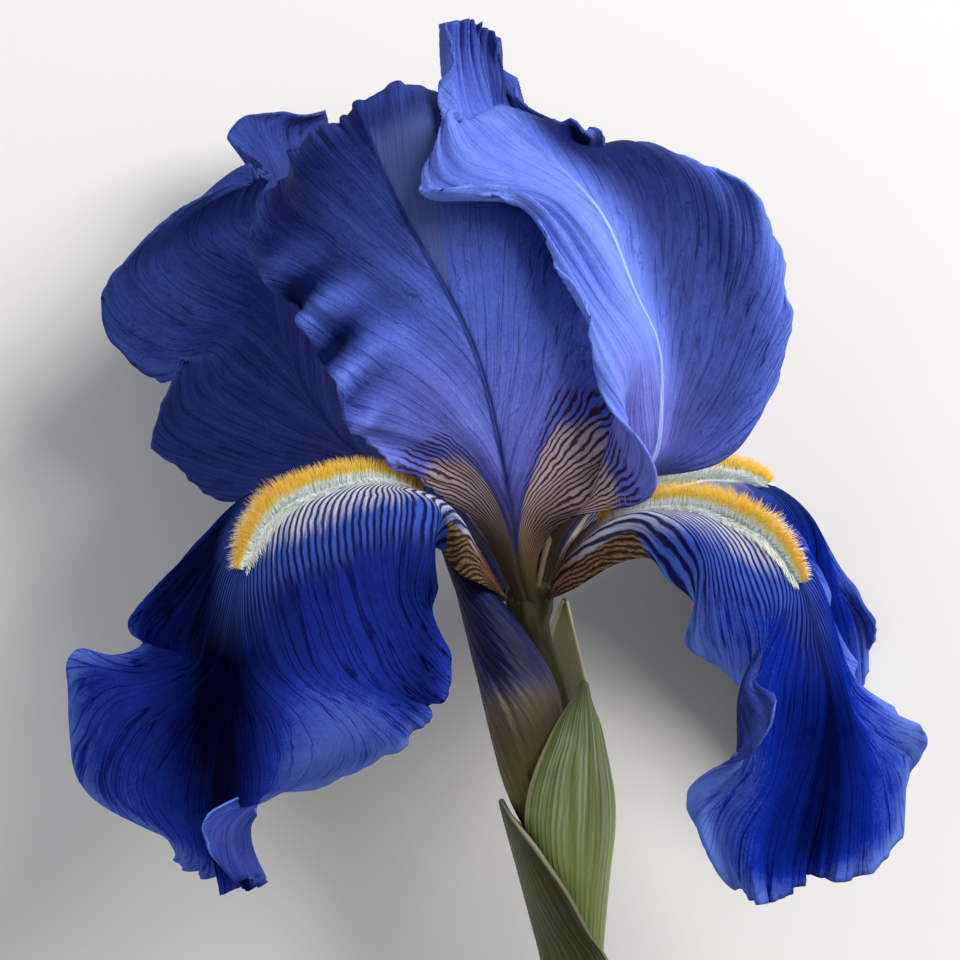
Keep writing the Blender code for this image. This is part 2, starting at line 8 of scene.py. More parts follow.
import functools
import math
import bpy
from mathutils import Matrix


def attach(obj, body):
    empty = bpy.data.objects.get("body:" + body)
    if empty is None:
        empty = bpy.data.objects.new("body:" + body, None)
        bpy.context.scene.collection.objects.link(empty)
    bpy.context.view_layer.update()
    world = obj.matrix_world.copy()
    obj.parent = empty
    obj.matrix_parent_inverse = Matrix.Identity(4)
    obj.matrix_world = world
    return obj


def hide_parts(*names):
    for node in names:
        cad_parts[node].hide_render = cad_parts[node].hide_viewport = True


bl_info = {
    "name": "Bearded Iris Bloom",
    "version": (1, 0, 0),
    "blender": (4, 5, 0),
    "location": "View3D > Sidebar > Iris",
    "description": "Grows the petals, beards, bud, bracts and stem of a cut iris round its packed model",
    "category": "Add Mesh",
}

import bpy
import numpy as np
from bpy.props import FloatProperty, FloatVectorProperty, IntProperty, PointerProperty
from mathutils import Euler, Matrix, Vector

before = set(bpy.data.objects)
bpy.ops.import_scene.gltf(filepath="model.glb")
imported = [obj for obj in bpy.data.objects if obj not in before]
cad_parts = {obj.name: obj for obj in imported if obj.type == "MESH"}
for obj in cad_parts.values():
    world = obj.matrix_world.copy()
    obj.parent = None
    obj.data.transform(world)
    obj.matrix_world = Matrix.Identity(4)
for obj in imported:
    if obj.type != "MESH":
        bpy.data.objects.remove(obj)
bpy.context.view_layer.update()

MM = 0.001
TURN = 2.0 * math.pi

# How the cut flower lies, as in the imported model: pitch and roll in degrees, and a shift.
LAY_PITCH = 12.17
LAY_ROLL = -3.53
REST_SHIFT = Vector((6.27, 42.09, 39.10))
LAY_TURN = Euler((math.radians(LAY_PITCH), math.radians(LAY_ROLL), 0))
LAY = Matrix.Translation(REST_SHIFT * MM) @ LAY_TURN.to_matrix().to_4x4()

# The camera looks straight into the flower's face.
VIEW_CENTRE = (-7.2, 18.0)
VIEW_DISTANCE = 1500.0
VIEW_WIDTH = 144.0
SENSOR_WIDTH = 36.0
FARTHEST_SEEN = 20.0

# Nets of design points. A row runs across the petal (left edge, left middle, rib, right middle,
# right edge) and the rows run from base to tip.
FRONT_STANDARD = (
    ((-1.4, 0, 3.2), (-0.8, 0, 3.8), (0, 0, 4), (0.7, 0, 3.8), (1.3, 0, 3.2)),
    ((-3.8, 4.4, 5), (-2.6, 4.6, 7), (-1.4, 4.7, 8), (-0.2, 4.6, 7.5), (1, 3.8, 5.5)),
    ((-6.9, 10.5, 8), (-4.2, 10.9, 11.5), (-2.3, 11.3, 13), (-0.1, 10.9, 11.5), (3.1, 9.9, 7)),
    ((-13.5, 16, 14), (-8, 18.5, 17), (-3.5, 18.5, 18), (2.5, 18.5, 16), (9.4, 15, 10)),
    ((-22.5, 21.5, 22), (-14.5, 27, 23), (-5.5, 28.5, 22), (4.5, 28.5, 19), (13.4, 23, 12)),
    ((-28, 28.5, 28), (-19.5, 36, 26), (-9, 39.5, 25), (1.5, 40, 22), (13.2, 31.5, 15)),
    ((-33.5, 40.5, 25), (-26, 46.5, 26), (-15, 51, 26), (-4, 52.5, 24), (9, 42.5, 19)),
    ((-40.5, 49, 18), (-31.5, 58, 22), (-21, 62.5, 24), (-11, 64.5, 23), (2.5, 55.5, 20)),
    ((-38.5, 61, 12), (-33, 68.5, 14), (-25.5, 73.5, 15), (-17.5, 77.5, 12), (-9, 69.5, 11.5)),
)
RIGHT_STANDARD = (
    ((1.9, 0.1, 1.3), (2.1, 0.1, 0.7), (2.2, 0.1, 0), (2.1, 0.2, -0.6), (1.9, 0.2, -1.1)),
    ((0.2, 6, 2.0), (3.2, 7, 3.2), (4.6, 8.2, 2.2), (5.4, 9, 0.9), (6.2, 9.6, -0.6)),
    ((5.8, 12.2, 8.8), (8, 13.6, 8.8), (9.8, 14.8, 5.8), (11.4, 16, 2.6), (13, 16.8, -1.2)),
    ((16.5, 14.5, 19), (10.5, 18.5, 12), (17.5, 20, 8), (20, 20, 1), (21.5, 19, -6)),
    ((18, 21.5, 23), (12.4, 26, 13.5), (19.5, 27.5, 10), (24.5, 25, -4), (31.5, 22.5, -12)),
    ((10.5, 33, 25), (15, 35, 20), (19, 37.5, 13), (27.5, 34, -6), (38.5, 35, -16)),
    ((6.5, 44, 27), (11, 44, 23), (16, 45, 16), (27, 45, -7), (40.5, 45.5, -17)),
    ((2, 53.5, 28), (7, 52.5, 25), (12.5, 54, 18), (24.5, 55, -5), (37.5, 55.5, -16)),
    ((-3.5, 59.5, 31), (2.5, 59, 27), (8.5, 60, 19), (19, 63, 0), (30.5, 65, -12)),
    ((-14, 59, 33), (-4.5, 62, 29), (4, 64.5, 19), (11.5, 67, 8), (18.5, 69, -8)),
    ((-16, 63, 31), (-8.5, 66.5, 28), (0, 68.5, 18), (6.5, 68.5, 12), (11.5, 65, -1)),
    ((-14, 69.5, 28), (-9.5, 71, 25), (-4, 73, 15), (3, 71.5, 12), (11, 69, 9)),
    ((-13, 72.5, 20), (-9.5, 71, 16), (-5, 73, 9), (-1, 73, 9), (3.5, 72, 10)),
    ((-13.5, 78, 15), (-10, 77.5, 11), (-6.5, 79, 8), (-4, 77.5, 6), (-2.5, 76.5, 7)),
    ((-12.5, 86, 11), (-10, 86.5, 8), (-7.5, 86, 7), (-5.5, 85, 6), (-4, 83, 6)),
)
LEFT_STANDARD = (
    ((-2.1, -0.3, -0.6), (-2.2, -0.3, -1.2), (-2.4, -0.3, -1.8), (-2.1, -0.3, -2.4), (-1.6, -0.3, -3)),
    ((-9.3, 7, -4), (-8.7, 7.3, -5.5), (-8, 7.6, -7), (-7, 8, -8.5), (-6.1, 8.5, -10)),
    ((-19.6, 14.1, -7), (-18.1, 14.5, -9), (-16.3, 15.3, -12), (-14.8, 16.2, -15), (-13.3, 17.2, -18)),
    ((-30.5, 17, -10.5), (-27.5, 18.5, -12.5), (-24, 20.5, -16.5), (-21.5, 22.5, -22.5), (-19, 24, -29)),
    ((-44, 14.5, -8.5), (-36.5, 20, -14), (-30.5, 26.5, -21), (-25.5, 29.5, -29.5), (-20.5, 30.5, -37)),
    ((-53, 18.5, -10), (-43, 25.5, -17.5), (-34.5, 33, -25), (-28, 36.5, -35), (-22, 37, -42.5)),
    ((-56.5, 26.5, -11), (-46.5, 32.5, -21.5), (-37, 39.5, -29), (-30, 43.5, -40.5), (-23, 45, -47)),
    ((-52, 37, -14.5), (-46.5, 38, -23.5), (-38.5, 46, -31.5), (-31.5, 49.5, -42.5), (-24, 52.5, -49.5)),
    ((-56, 32.5, -23.5), (-49.5, 42.5, -28), (-39.5, 51.5, -33.5), (-33, 55.5, -43.5), (-25.5, 59, -50.5)),
    ((-64.5, 42.5, -20), (-53.5, 50.5, -28), (-40.5, 56, -33.5), (-34.5, 61.5, -43.5), (-27, 64.5, -49.5)),
    ((-60.5, 53, -19), (-50.5, 57, -28), (-41, 59.5, -32.5), (-36.5, 66.5, -41.5), (-28.5, 69, -47)),
    ((-49.5, 61, -20), (-45, 62.5, -26), (-40.5, 62.5, -30), (-40.5, 70, -38), (-30, 72.5, -45)),
    ((-42, 64.5, -22.5), (-41, 65, -24.5), (-40, 65, -28), (-44.5, 73, -34.5), (-31, 74.5, -41.5)),
)
LEFT_FALL = (
    ((-3.9, -0.1, 0.6), (-3.8, -0.1, 1.6), (-3.3, -0.1, 2.6), (-2.9, -0.1, 3.4), (-2.3, -0.1, 4)),
    ((-8.7, 8.3, 3.5), (-8.2, 8.1, 6), (-7.3, 7.1, 8.5), (-6.2, 4.3, 8.5), (-5.3, 1.6, 6)),
    ((-14.4, 15, 4.5), (-13.6, 14.7, 9), (-12.1, 13.2, 13), (-9, 10.3, 15), (-8.4, 3.1, 10)),
    ((-21, 18, 6), (-20, 17.5, 12), (-18.5, 16.5, 17), (-12, 14, 22), (-11, 5, 12)),
    ((-28.5, 17.5, 7), (-27.5, 17.5, 14), (-25, 17.5, 21), (-14.5, 15, 28), (-13.5, 8, 15)),
    ((-36, 17, 8), (-34, 17, 17), (-31.5, 16, 26), (-15.5, 14.5, 34), (-15.5, 6, 24)),
    ((-42, 15.5, 9), (-40, 15, 20), (-37, 13.5, 30), (-19.5, 10.5, 39), (-13.5, 2.5, 30)),
    ((-48, 10.5, 10), (-44.5, 10, 23), (-40.5, 8.5, 34), (-23.5, 4, 42), (-14.5, -1, 29)),
    ((-54.5, 4, 10), (-48.5, 3, 24), (-42.5, 2, 37), (-26, -3, 43), (-12.5, -7, 28)),
    ((-59, -4, 5), (-51, -5, 24), (-43, -5.5, 39), (-28, -9.5, 43), (-12.5, -13, 27)),
    ((-56, -6.2, 8), (-50, -8.5, 25.5), (-43.2, -9.5, 39.5), (-29, -12.5, 42.5), (-13.5, -15.5, 26.5)),
    ((-61.5, -9.2, 12), (-52, -11, 26.5), (-43.4, -12.5, 39.8), (-29.5, -14.5, 42.3), (-14.5, -17.5, 26.2)),
    ((-68, -8.2, 14), (-55, -14.5, 27), (-43.6, -16, 39.8), (-30.5, -17.5, 41.8), (-16.8, -20, 26)),
    ((-69.5, -18, 13), (-56.5, -20, 26), (-44, -21.5, 39), (-33, -21.5, 41), (-22, -23, 27)),
    ((-66, -28.5, 13), (-55, -28, 26), (-44, -29, 37), (-37.5, -27.5, 39), (-33, -26.5, 30)),
    ((-55, -34.5, 17), (-49.5, -34.5, 28), (-44.5, -35, 35), (-41, -32.5, 38), (-47, -31, 43)),
    ((-53, -38, 19), (-47.5, -40.5, 26), (-41, -42, 33), (-38.5, -40.5, 37), (-42.5, -40.5, 43)),
)
RIGHT_FALL = (
    ((2.5, -0.1, 4.6), (3, -0.1, 4), (3.4, -0.1, 3.2), (3.6, -0.1, 2.4), (3.6, -0.1, 1.6)),
    ((7.7, 2.4, 11), (4.7, 4, 10.5), (5, 4.9, 7), (5.4, 6, 4), (6.1, 7.5, 1)),
    ((12.5, 5.4, 17), (8.4, 8.2, 17), (9, 9.4, 11), (9.7, 10.8, 6), (10.8, 12.3, 2)),
    ((18, 6.5, 23), (14, 12, 23), (14, 12.5, 15), (15, 14, 9), (16, 15, 4)),
    ((20.5, 3.5, 28), (19.5, 12, 28), (20, 13.5, 19), (21, 14.5, 12), (22, 15.5, 6)),
    ((24.5, -0.5, 32), (24.5, 9.5, 33), (25.5, 13.5, 23), (27, 14.5, 16), (28.5, 15, 8)),
    ((23, -5.5, 33), (28, 5.5, 36), (30.5, 12, 27), (33, 13, 20), (35, 13, 10)),
    ((27, -9, 33), (31.5, 0, 38), (35, 9.5, 30), (37.5, 10.5, 23), (40, 9.5, 12)),
    ((31, -12, 33), (34.5, -5, 38), (38.5, 5, 32), (41, 6, 25), (43, 4.5, 14)),
    ((35, -12.5, 41), (32, -10.5, 37.5), (41, 0, 33), (43.5, -0.5, 26), (45.5, -2.5, 16)),
    ((36, -16.5, 43), (31.3, -16.5, 37.5), (42.5, -6.5, 34), (45.5, -7.5, 26), (47.5, -8.5, 16)),
    ((31, -22.5, 39), (32.5, -21.5, 36.5), (44, -14, 34), (47.5, -14, 27), (50.5, -13, 18)),
    ((23.5, -27, 34), (34, -27, 35), (44, -21.5, 33), (50, -20, 28), (56, -18, 21)),
    ((24, -33.5, 32), (34, -33.5, 34), (43, -29.5, 31), (50.5, -28, 27), (58.5, -22.5, 21)),
    ((30.5, -42, 31), (36, -44, 33), (41, -40.5, 27), (47.5, -41, 26), (55.5, -35, 20)),
)
BACK_FALL = (
    ((2.3, -0.2, -1.2), (2.7, -0.2, -2.2), (2.6, -0.2, -3.4), (2.3, -0.2, -4.2), (1.7, -0.2, -4.8)),
    ((8.6, 3.4, -2), (6.7, 5.3, -6), (6.2, 5.9, -9), (5.8, 7, -12), (5.4, 8.2, -14)),
    ((13.9, 7.6, -6), (11.6, 10.4, -13), (11.3, 11, -17), (10.7, 12.4, -21), (9.9, 13.9, -24)),
    ((19, 10, -9.5), (17, 14, -19), (16.5, 15, -23), (16.5, 16, -27.5), (16, 17, -31.5)),
    ((24.5, 9, -12.5), (22.5, 16, -24.5), (22.5, 17, -28), (23, 17.5, -33.5), (23.5, 17.5, -38)),
    ((28.5, 6, -14.5), (27.5, 16.5, -27), (29, 18, -31.5), (30, 18, -36.5), (31, 17, -41)),
    ((32, 1.5, -16), (33, 14, -28), (35, 17.5, -33), (37, 16.5, -37.5), (38, 14, -41)),
    ((34, -3.5, -18.5), (36.5, 9, -29.5), (40.5, 14.5, -35), (42.5, 12.5, -39), (43.5, 9.5, -41.5)),
    ((36, -8.5, -21), (39, 2, -30.5), (44, 8.5, -36), (46.5, 5.5, -39), (48.5, 1.5, -40)),
    ((38, -15, -23), (41, -5, -31), (44.5, 1, -36), (49.5, -2, -38.5), (53.5, -3.5, -39)),
    ((38.5, -21, -25), (42, -13, -31), (45.5, -6.5, -36), (49.5, -9, -38.5), (53, -10.5, -40)),
    ((39.5, -26.5, -26.5), (42.5, -19.5, -31), (45.5, -14.5, -35), (49, -17, -37.5), (52, -18.5, -39)),
    ((41, -31, -27), (43, -29.5, -29.5), (45, -23, -33.5), (48, -26, -35), (50, -24.5, -37)),
)
FRONT_BRACT = (
    ((7.9, -12.5, 6.2), (8.1, -12.2, 6.6), (8.3, -12, 6.8), (8.6, -12.2, 6.6), (8.8, -12.5, 6.2)),
    ((6.4, -15.1, 7.6), (7.3, -15, 8.2), (8.6, -14.8, 8.2), (9.3, -15.1, 6.8), (9.5, -15.8, 5.4)),
    ((4.6, -17.8, 9), (6.2, -17.6, 9.9), (8.8, -17.5, 9.2), (10.3, -17.8, 6.5), (10.5, -18.7, 3.4)),
    ((2.9, -20.9, 10.8), (5.3, -20.8, 11.8), (8.9, -20.7, 10.3), (11.1, -21, 6), (11.1, -21.7, 1.5)),
    ((1.1, -24.9, 11.6), (4.1, -24.8, 12.4), (8.9, -24.6, 10.8), (11.9, -24.9, 5), (11.6, -25.7, -1)),
    ((-0.2, -29.7, 9.8), (3.2, -29.6, 11.4), (8.9, -29.5, 9.8), (12.7, -29.9, 3.8), (11.9, -30.5, -3)),
    ((-0.3, -35, 7), (2.9, -34.9, 9), (8.8, -35, 8.2), (12.7, -35.2, 2.6), (11.4, -35.7, -4)),
    ((1.0, -40.3, 4.9), (3.4, -40.2, 6.9), (8.6, -40.3, 6.4), (12.1, -40.4, 1.8), (10.9, -40.8, -4.2)),
    ((2.4, -46.4, 2.6), (4.4, -46.3, 4.8), (8.3, -46.3, 4.8), (11.5, -46.5, 1), (10.4, -46.8, -3.8)),
    ((3.3, -52.4, 0.4), (4.9, -52.3, 3.0), (8.1, -52.3, 3.4), (11, -52.5, 0.4), (10.3, -52.8, -3.2)),
    ((3.7, -57.7, 0.4), (5.1, -57.6, 2.8), (8, -57.6, 3.2), (11.1, -57.7, 0.2), (10.4, -57.9, -2.9)),
)
REAR_BRACT = (
    ((5.3, -0.2, -4.4), (5.4, 0.1, -4.6), (5.6, 0.2, -4.7), (5.7, 0.1, -4.6), (5.9, -0.2, -4.4)),
    ((4.1, -2.5, -4.8), (4.8, -2.5, -5.4), (5.7, -2.3, -5.6), (6.3, -2.8, -5.2), (6.6, -3.4, -4.6)),
    ((2.9, -5.8, -5.2), (4.1, -5.8, -6.4), (5.8, -5.7, -6.8), (7.1, -6.1, -6), (7.3, -6.5, -4.8)),
    ((2, -9.9, -6), (3.8, -9.9, -7.6), (6.1, -9.9, -7.8), (8, -10.2, -6.4), (8.2, -10.4, -4.8)),
    ((0.9, -15.1, -6.6), (3.4, -15.2, -8.4), (6.4, -15.2, -8.6), (9.1, -15.3, -6.6), (9.3, -15.7, -4.2)),
    ((-0.3, -22.7, -6.2), (2.8, -22.7, -8.8), (6.5, -22.7, -9), (10, -22.7, -7), (10.6, -22.9, -4.4)),
    ((-0.6, -30.2, -5), (2.6, -30.3, -8.2), (6.7, -30.3, -8.6), (9.7, -30.2, -7), (10.7, -30.3, -5.2)),
    ((0.6, -37.6, -3.6), (2.9, -37.7, -6), (6.1, -37.7, -6.6), (8.5, -37.7, -6), (9.5, -37.7, -5)),
    ((3, -45.9, -3.2), (4.5, -46, -4.8), (6.6, -46, -5.3), (8.5, -46, -4.9), (9.5, -45.9, -4)),
)
LOWER_SHEATH = (
    ((-3.9, -29.7, 3.4), (-4.1, -29.9, 2.6), (-4.2, -30.1, 1.6), (-4.1, -30.3, 0.6), (-3.9, -30.5, -0.2)),
    ((-1.8, -33, 8.4), (-3, -32.8, 6), (-3.6, -32.6, 1.5), (-3, -33.1, -3), (-1.5, -33.5, -6.4)),
    ((0.8, -36.1, 10.2), (-1.5, -36, 7.6), (-2.6, -36.3, 1.2), (-1.3, -36.5, -4.6), (1.8, -36.7, -8.2)),
    ((3.7, -40.1, 9.2), (0.0, -39.9, 7.8), (-1.6, -39.9, 0.6), (0.3, -40.4, -5.8), (4.9, -40.8, -8.4)),
    ((6.7, -44.7, 7.6), (2, -44.4, 7), (-0.4, -44.4, 0.2), (2.1, -44.9, -5.8), (7.1, -45.3, -7.2)),
    ((9.5, -50, 5.4), (4.6, -49.3, 5.9), (0.9, -49.2, 0), (3.6, -49.7, -5.2), (9.4, -50.2, -5.8)),
    ((12, -54.2, 1.8), (6.9, -53.5, 5.4), (2, -53.5, 0), (5.7, -53.9, -5.2), (11.7, -54.5, -3.8)),
    ((12.7, -60, 1), (8, -59.7, 5), (3, -60, 0), (7.2, -60.3, -5), (12.5, -60.1, -2.6)),
    ((13.2, -69, 0.8), (8.8, -68.7, 4.8), (3.9, -69, 0), (8.2, -69.3, -4.8), (13, -69.1, -2)),
    ((14.3, -79.4, 0.8), (9.6, -79.2, 4.9), (4.7, -79.5, 0), (9.2, -79.8, -4.9), (14.1, -79.6, -1.6)),
)

# Tubes: centre (x, y, z) and radius at each station.
OVARY = (
    (0.1, -1.3, 0.0, 3.6),
    (0.4, -4.0, -0.1, 2.9),
    (1.8, -8.0, -0.7, 2.3),
    (3.4, -12.5, -1.7, 2.3),
    (4.6, -18.0, -2.6, 2.5),
    (5.4, -25.0, -3.0, 2.7),
    (6.0, -32.0, -2.6, 2.6),
    (6.5, -39.0, -1.9, 2.3),
)

STEM = (
    (6.6, -39.5, -1.8, 2.3),
    (7.0, -47.0, -1.0, 2.5),
    (7.4, -54.0, -0.5, 2.5),
    (8.0, -62.0, -0.2, 2.9),
    (9.4, -78.0, 0.0, 3.7),
    (11.4, -105.0, 0.0, 4.0),
    (13.4, -135.0, 0.0, 4.2),
    (15.0, -170.0, 0.0, 4.4),
)

BUD = (
    (-12.8, 8.6, 1.8, 0.5),
    (-10.6, 5.2, 2.4, 1.6),
    (-8.4, 1.6, 3.2, 2.5),
    (-5.6, -4.0, 4.6, 3.9),
    (-2.8, -10.0, 5.6, 5.1),
    (-0.9, -16.0, 6.0, 5.6),
    (-0.2, -22.0, 5.6, 5.0),
    (0.4, -28.0, 4.4, 3.8),
    (1.8, -33.0, 3.2, 2.7),
    (3.4, -37.5, 2.2, 1.9),
)

# Style arms and stamens: their centre lines.
STYLE_ARMS = {
    "left": ((-0.9, 1.2, 1.2), (-3.4, 6.0, 1.4), (-6.2, 11.0, 1.2), (-9.0, 15.8, 0.6), (-11.0, 20.5, 0.2)),
    "right": ((0.8, 1.2, 0.6), (1.6, 6.0, 0.2), (3.0, 11.0, -0.4), (5.2, 16.5, -0.8), (7.6, 22.0, -1.0)),
    "back": ((1.0, 1.2, -1.6), (2.6, 6.0, -5.0), (4.4, 11.5, -8.6), (6.4, 17.5, -12.0), (8.6, 22.5, -14.0)),
}
STYLE_ACROSS = {"left": (0.35, 0.1, 1.0), "right": (-0.35, 0.1, 1.0), "back": (1.0, 0.0, 0.4)}
STYLE_HALF_WIDTHS = (1.0, 1.8, 2.6, 3.2, 2.4)
STYLE_CUP = 0.25
STYLE_THICKNESS = 0.5

STAMENS = {
    "left": ((-1.6, 1.6, 3.0), (-4.4, 7.0, 4.6), (-7.2, 12.0, 5.0), (-9.8, 16.6, 5.0)),
    "right": ((1.4, 2.0, 2.4), (2.6, 7.5, 4.2), (4.0, 12.5, 5.2), (5.8, 17.0, 5.6)),
    "back": ((2.4, 2.6, -4.4), (4.6, 7.0, -8.4), (7.0, 11.0, -12.0), (9.6, 14.6, -15.0)),
}
FILAMENT_RADIUS = 0.5
ANTHER_RADIUS = 0.9


# ---------------------------------------------------------------- surfaces

# Of a petal's sheet, in millimetres: how far folds reach in from the margin and the teeth cut in,
# how wide the ridge of the rib is, and how far below the tip the ridge and the teeth fade out.
FOLD_REACH = 15.0
TOOTH_REACH = 1.1
RIDGE_WIDTH = 0.5
RIDGE_FADE = 12.0
TOOTH_FADE = 6.0
RIM_WIDTH = 8.0
# Columns of points lie closer to each other at the rib: v is t to this power.
RIB_CROWDING = 1.15
# Counts and strengths of the waves that ruffles, folds and teeth are sums of.
RUFFLE_WAVES = ((5.3, 8.7, 15.1, 31.0), (0.8, 0.75, 0.42, 0.14))
FOLD_WAVES = ((2.6, 4.3), (1.0, 0.7))
TOOTH_WAVES = ((9.0, 17.0, 43.0, 71.0), (0.7, 0.4, 0.3, 0.12))


def spline_weights(count, places):
    """Weights of a natural cubic spline through `count` evenly spaced knots, at each place (0 to count - 1).

    Between knots the value is (1 - t) a + t b, plus a sixth of (t^3 - t) and its mirror times the
    bends, which solve the usual 1-4-1 system.
    """
    slopes = np.eye(count)
    sides = np.zeros((count, count))
    for i in range(1, count - 1):
        slopes[i, i - 1:i + 2] = (1, 4, 1)
        sides[i, i - 1:i + 2] = (6, -12, 6)
    bend = np.linalg.solve(slopes, sides)
    low = np.clip(places.astype(int), 0, count - 2)
    part = (places - low)[:, None]
    knots = np.eye(count)
    return ((1 - part) * knots[low] + part * knots[low + 1]
            + ((1 - part) ** 3 - (1 - part)) / 6 * bend[low]
            + (part ** 3 - part) / 6 * bend[low + 1])


def net_weights(net, along, across):
    """Spline weights along and across a net, at places given from 0 to 1."""
    return (spline_weights(net.shape[0], np.asarray(along) * (net.shape[0] - 1)),
            spline_weights(net.shape[1], np.asarray(across) * (net.shape[1] - 1)))


def net_grid(net, along, across):
    """The net's surface S(u, v) on a whole grid: a product of two splines."""
    down, over = net_weights(net, along, across)
    return np.einsum("ai,bj,ijk->abk", down, over, net)


def net_pairs(net, along, across):
    """The net's surface S(u, v) at pairs of places."""
    down, over = net_weights(net, along, across)
    return np.einsum("ni,nj,ijk->nk", down, over, net)


def unit(vectors):
    """Vectors divided by their lengths."""
    return vectors / np.maximum(np.linalg.norm(vectors, axis=-1, keepdims=True), 1e-9)


def smooth(value, low, high):
    """0 at low, 1 at high, and 3t^2 - 2t^3 between; high may be the smaller."""
    t = np.clip((value - low) / (high - low), 0.0, 1.0)
    return t * t * (3 - 2 * t)


def waves(phase, counts, strengths, rng):
    """A sum of sines of the given counts and strengths, each from a random start."""
    total = 0.0
    for count, strength in zip(counts, strengths):
        total = total + strength * np.sin(TURN * (count * phase + rng.random()))
    return total


def sheet_walk(points, axis):
    """How far each point of a grid lies from the first one on its line, walked along the sheet."""
    steps = np.linalg.norm(np.diff(points, axis=axis), axis=2)
    return np.concatenate([np.zeros_like(np.take(steps, [0], axis)), np.cumsum(steps, axis)], axis)


def table_grid(table, u, v):
    """A coarse table of values run smoothly along and across a petal, kept from 0 to 1."""
    table = np.array(table, float)
    down, over = net_weights(table, u, (v + 1) / 2)
    return np.clip(down @ table @ over.T, 0.0, 1.0)


def petal_sheet(net, form, rows, columns):
    """A petal's sheet P(u, v), with v from -1 to 1 across it, and what its colours need to know.

    P is the net's surface, pushed along its normal by
      ruffle * e^-(d / reach)^1.3 * waves(phase)    the ruffle of the margin, d mm from it
      fold * e^-(d / FOLD_REACH)^2 * waves(phase)   broad folds that reach far into the blade
      rib * e^-(r / RIDGE_WIDTH)^2                  the ridge of the rib, r mm from it
      tuck height * e^-(du^2 + dv^2)                single folds, each at its own place
    and cut back along itself at the sides by uneven teeth, notch * e^-(d / TOOTH_REACH) * waves(phase).
    vein = u - spread |v|^power * fan is the same all along a vein, and fan grows as tanh(u / rise)
    from root at the base to 1. phase is nearly that, so the folds run out as the veins do.
    """
    rng = np.random.default_rng(form["seed"])
    t = np.linspace(-1, 1, columns)
    v = np.sign(t) * np.abs(t) ** RIB_CROWDING
    u = np.linspace(0, 1, rows)
    base = net_grid(net, u, (v + 1) / 2)
    tone = table_grid(form["tone"], u, v)
    down = unit(np.gradient(base, axis=0))
    over = unit(np.gradient(base, axis=1))
    normal = unit(np.cross(down, over))
    walked = sheet_walk(base, 1)
    climbed = sheet_walk(base, 0)
    from_rib = np.abs(walked - walked[:, columns // 2][:, None])
    to_side = np.minimum(walked, walked[:, -1:] - walked)
    to_tip = climbed[-1:] - climbed
    edge = np.minimum(to_side, to_tip)
    u, v = np.meshgrid(u, v, indexing="ij")
    root, rise = form["fan"]
    fan = root + (1 - root) * np.tanh(u / rise) / np.tanh(1 / rise)
    vein = u - form["spread"] * np.abs(v) ** form["power"] * fan
    phase = u - form["spread"] * np.abs(v) ** max(form["power"], 0.8) * fan
    phase = phase + 0.05 * np.tanh(3 * v) + 0.11 * v * smooth(u, 0.6, 1.0)
    grown = smooth(u, form["calm"], form["calm"] + 0.25)
    ruffle = waves(phase, *RUFFLE_WAVES, rng)
    fold = waves(phase, *FOLD_WAVES, rng)
    out = form["ruffle"] * np.exp(-(edge / form["reach"]) ** 1.3) * ruffle * grown
    out += form["fold"] * np.exp(-(edge / FOLD_REACH) ** 2) * fold * grown
    out += form["rib"] * np.exp(-(from_rib / RIDGE_WIDTH) ** 2) * smooth(to_tip, 0.0, RIDGE_FADE)
    tuck = sum(height * np.exp(-((u - at_u) / long) ** 2 - ((v - at_v) / wide) ** 2)
               for at_u, at_v, long, wide, height in form.get("tucks", ()))
    out += tuck
    notch = 0.5 + 0.5 * waves(phase, *TOOTH_WAVES, rng)
    side = np.exp(-to_side / TOOTH_REACH)[..., None] * over * np.sign(v)[..., None]
    tip = np.exp(-to_tip / TOOTH_REACH)[..., None] * down
    deep = form["notch"] * (grown * notch * smooth(to_tip, 0.0, TOOTH_FADE))[..., None]
    points = base + normal * out[..., None] - deep * (side + 0.05 * tip)
    striped, flesh = form["marks"](form, u, v, climbed, from_rib)
    # Painted light and shade on the tone: the margin is lightened within RIM_WIDTH, partly as a painted
    # highlight where it catches light, and each tuck is painted darker in its hollow and lighter on its
    # ridge.
    tone = tone + form["rim"] * smooth(edge, RIM_WIDTH, 0.0) ** 2 * grown - 0.12 * tuck
    count, extra = form["lines"]
    lines = count * vein + extra * (1 - np.exp(-np.maximum(vein, 0) / 0.15))
    facts = {"place": np.stack([lines, v, vein], -1), "reach": np.stack([edge, from_rib, climbed], -1),
             "marks": np.stack([tone, striped, flesh], -1)}
    return points, facts


def standard_marks(form, u, v, climbed, _):
    """Where a standard is striped: up to a height at its left, rib and right; and its pane, painted light
    that shows through the petal.

    The pane opens to the right of the rib at a height u0 and widens upwards as a wedge. A fainter
    strip follows it on its right.
    """
    left, middle, right = form["claw"]
    top = middle + (left - middle) * smooth(-v, 0.1, 0.5) + (right - middle) * smooth(v, 0.1, 0.5)
    start, slope = form.get("pane", (2.0, 1.0))
    wide = slope * (u - start)
    # Painted light: the pane's grey stands for light showing through the petal.
    pane = smooth(v, 0.0, 0.03) * smooth(wide - v, 0.0, 0.03)
    beside = 0.5 * smooth(wide - v, 0.0, -0.03) * smooth(v, wide + 0.4, wide) * smooth(u, start, start + 0.1)
    return smooth(climbed, top + 4.0, top - 7.0), np.maximum(pane, beside) * smooth(u, 0.99, 0.9)


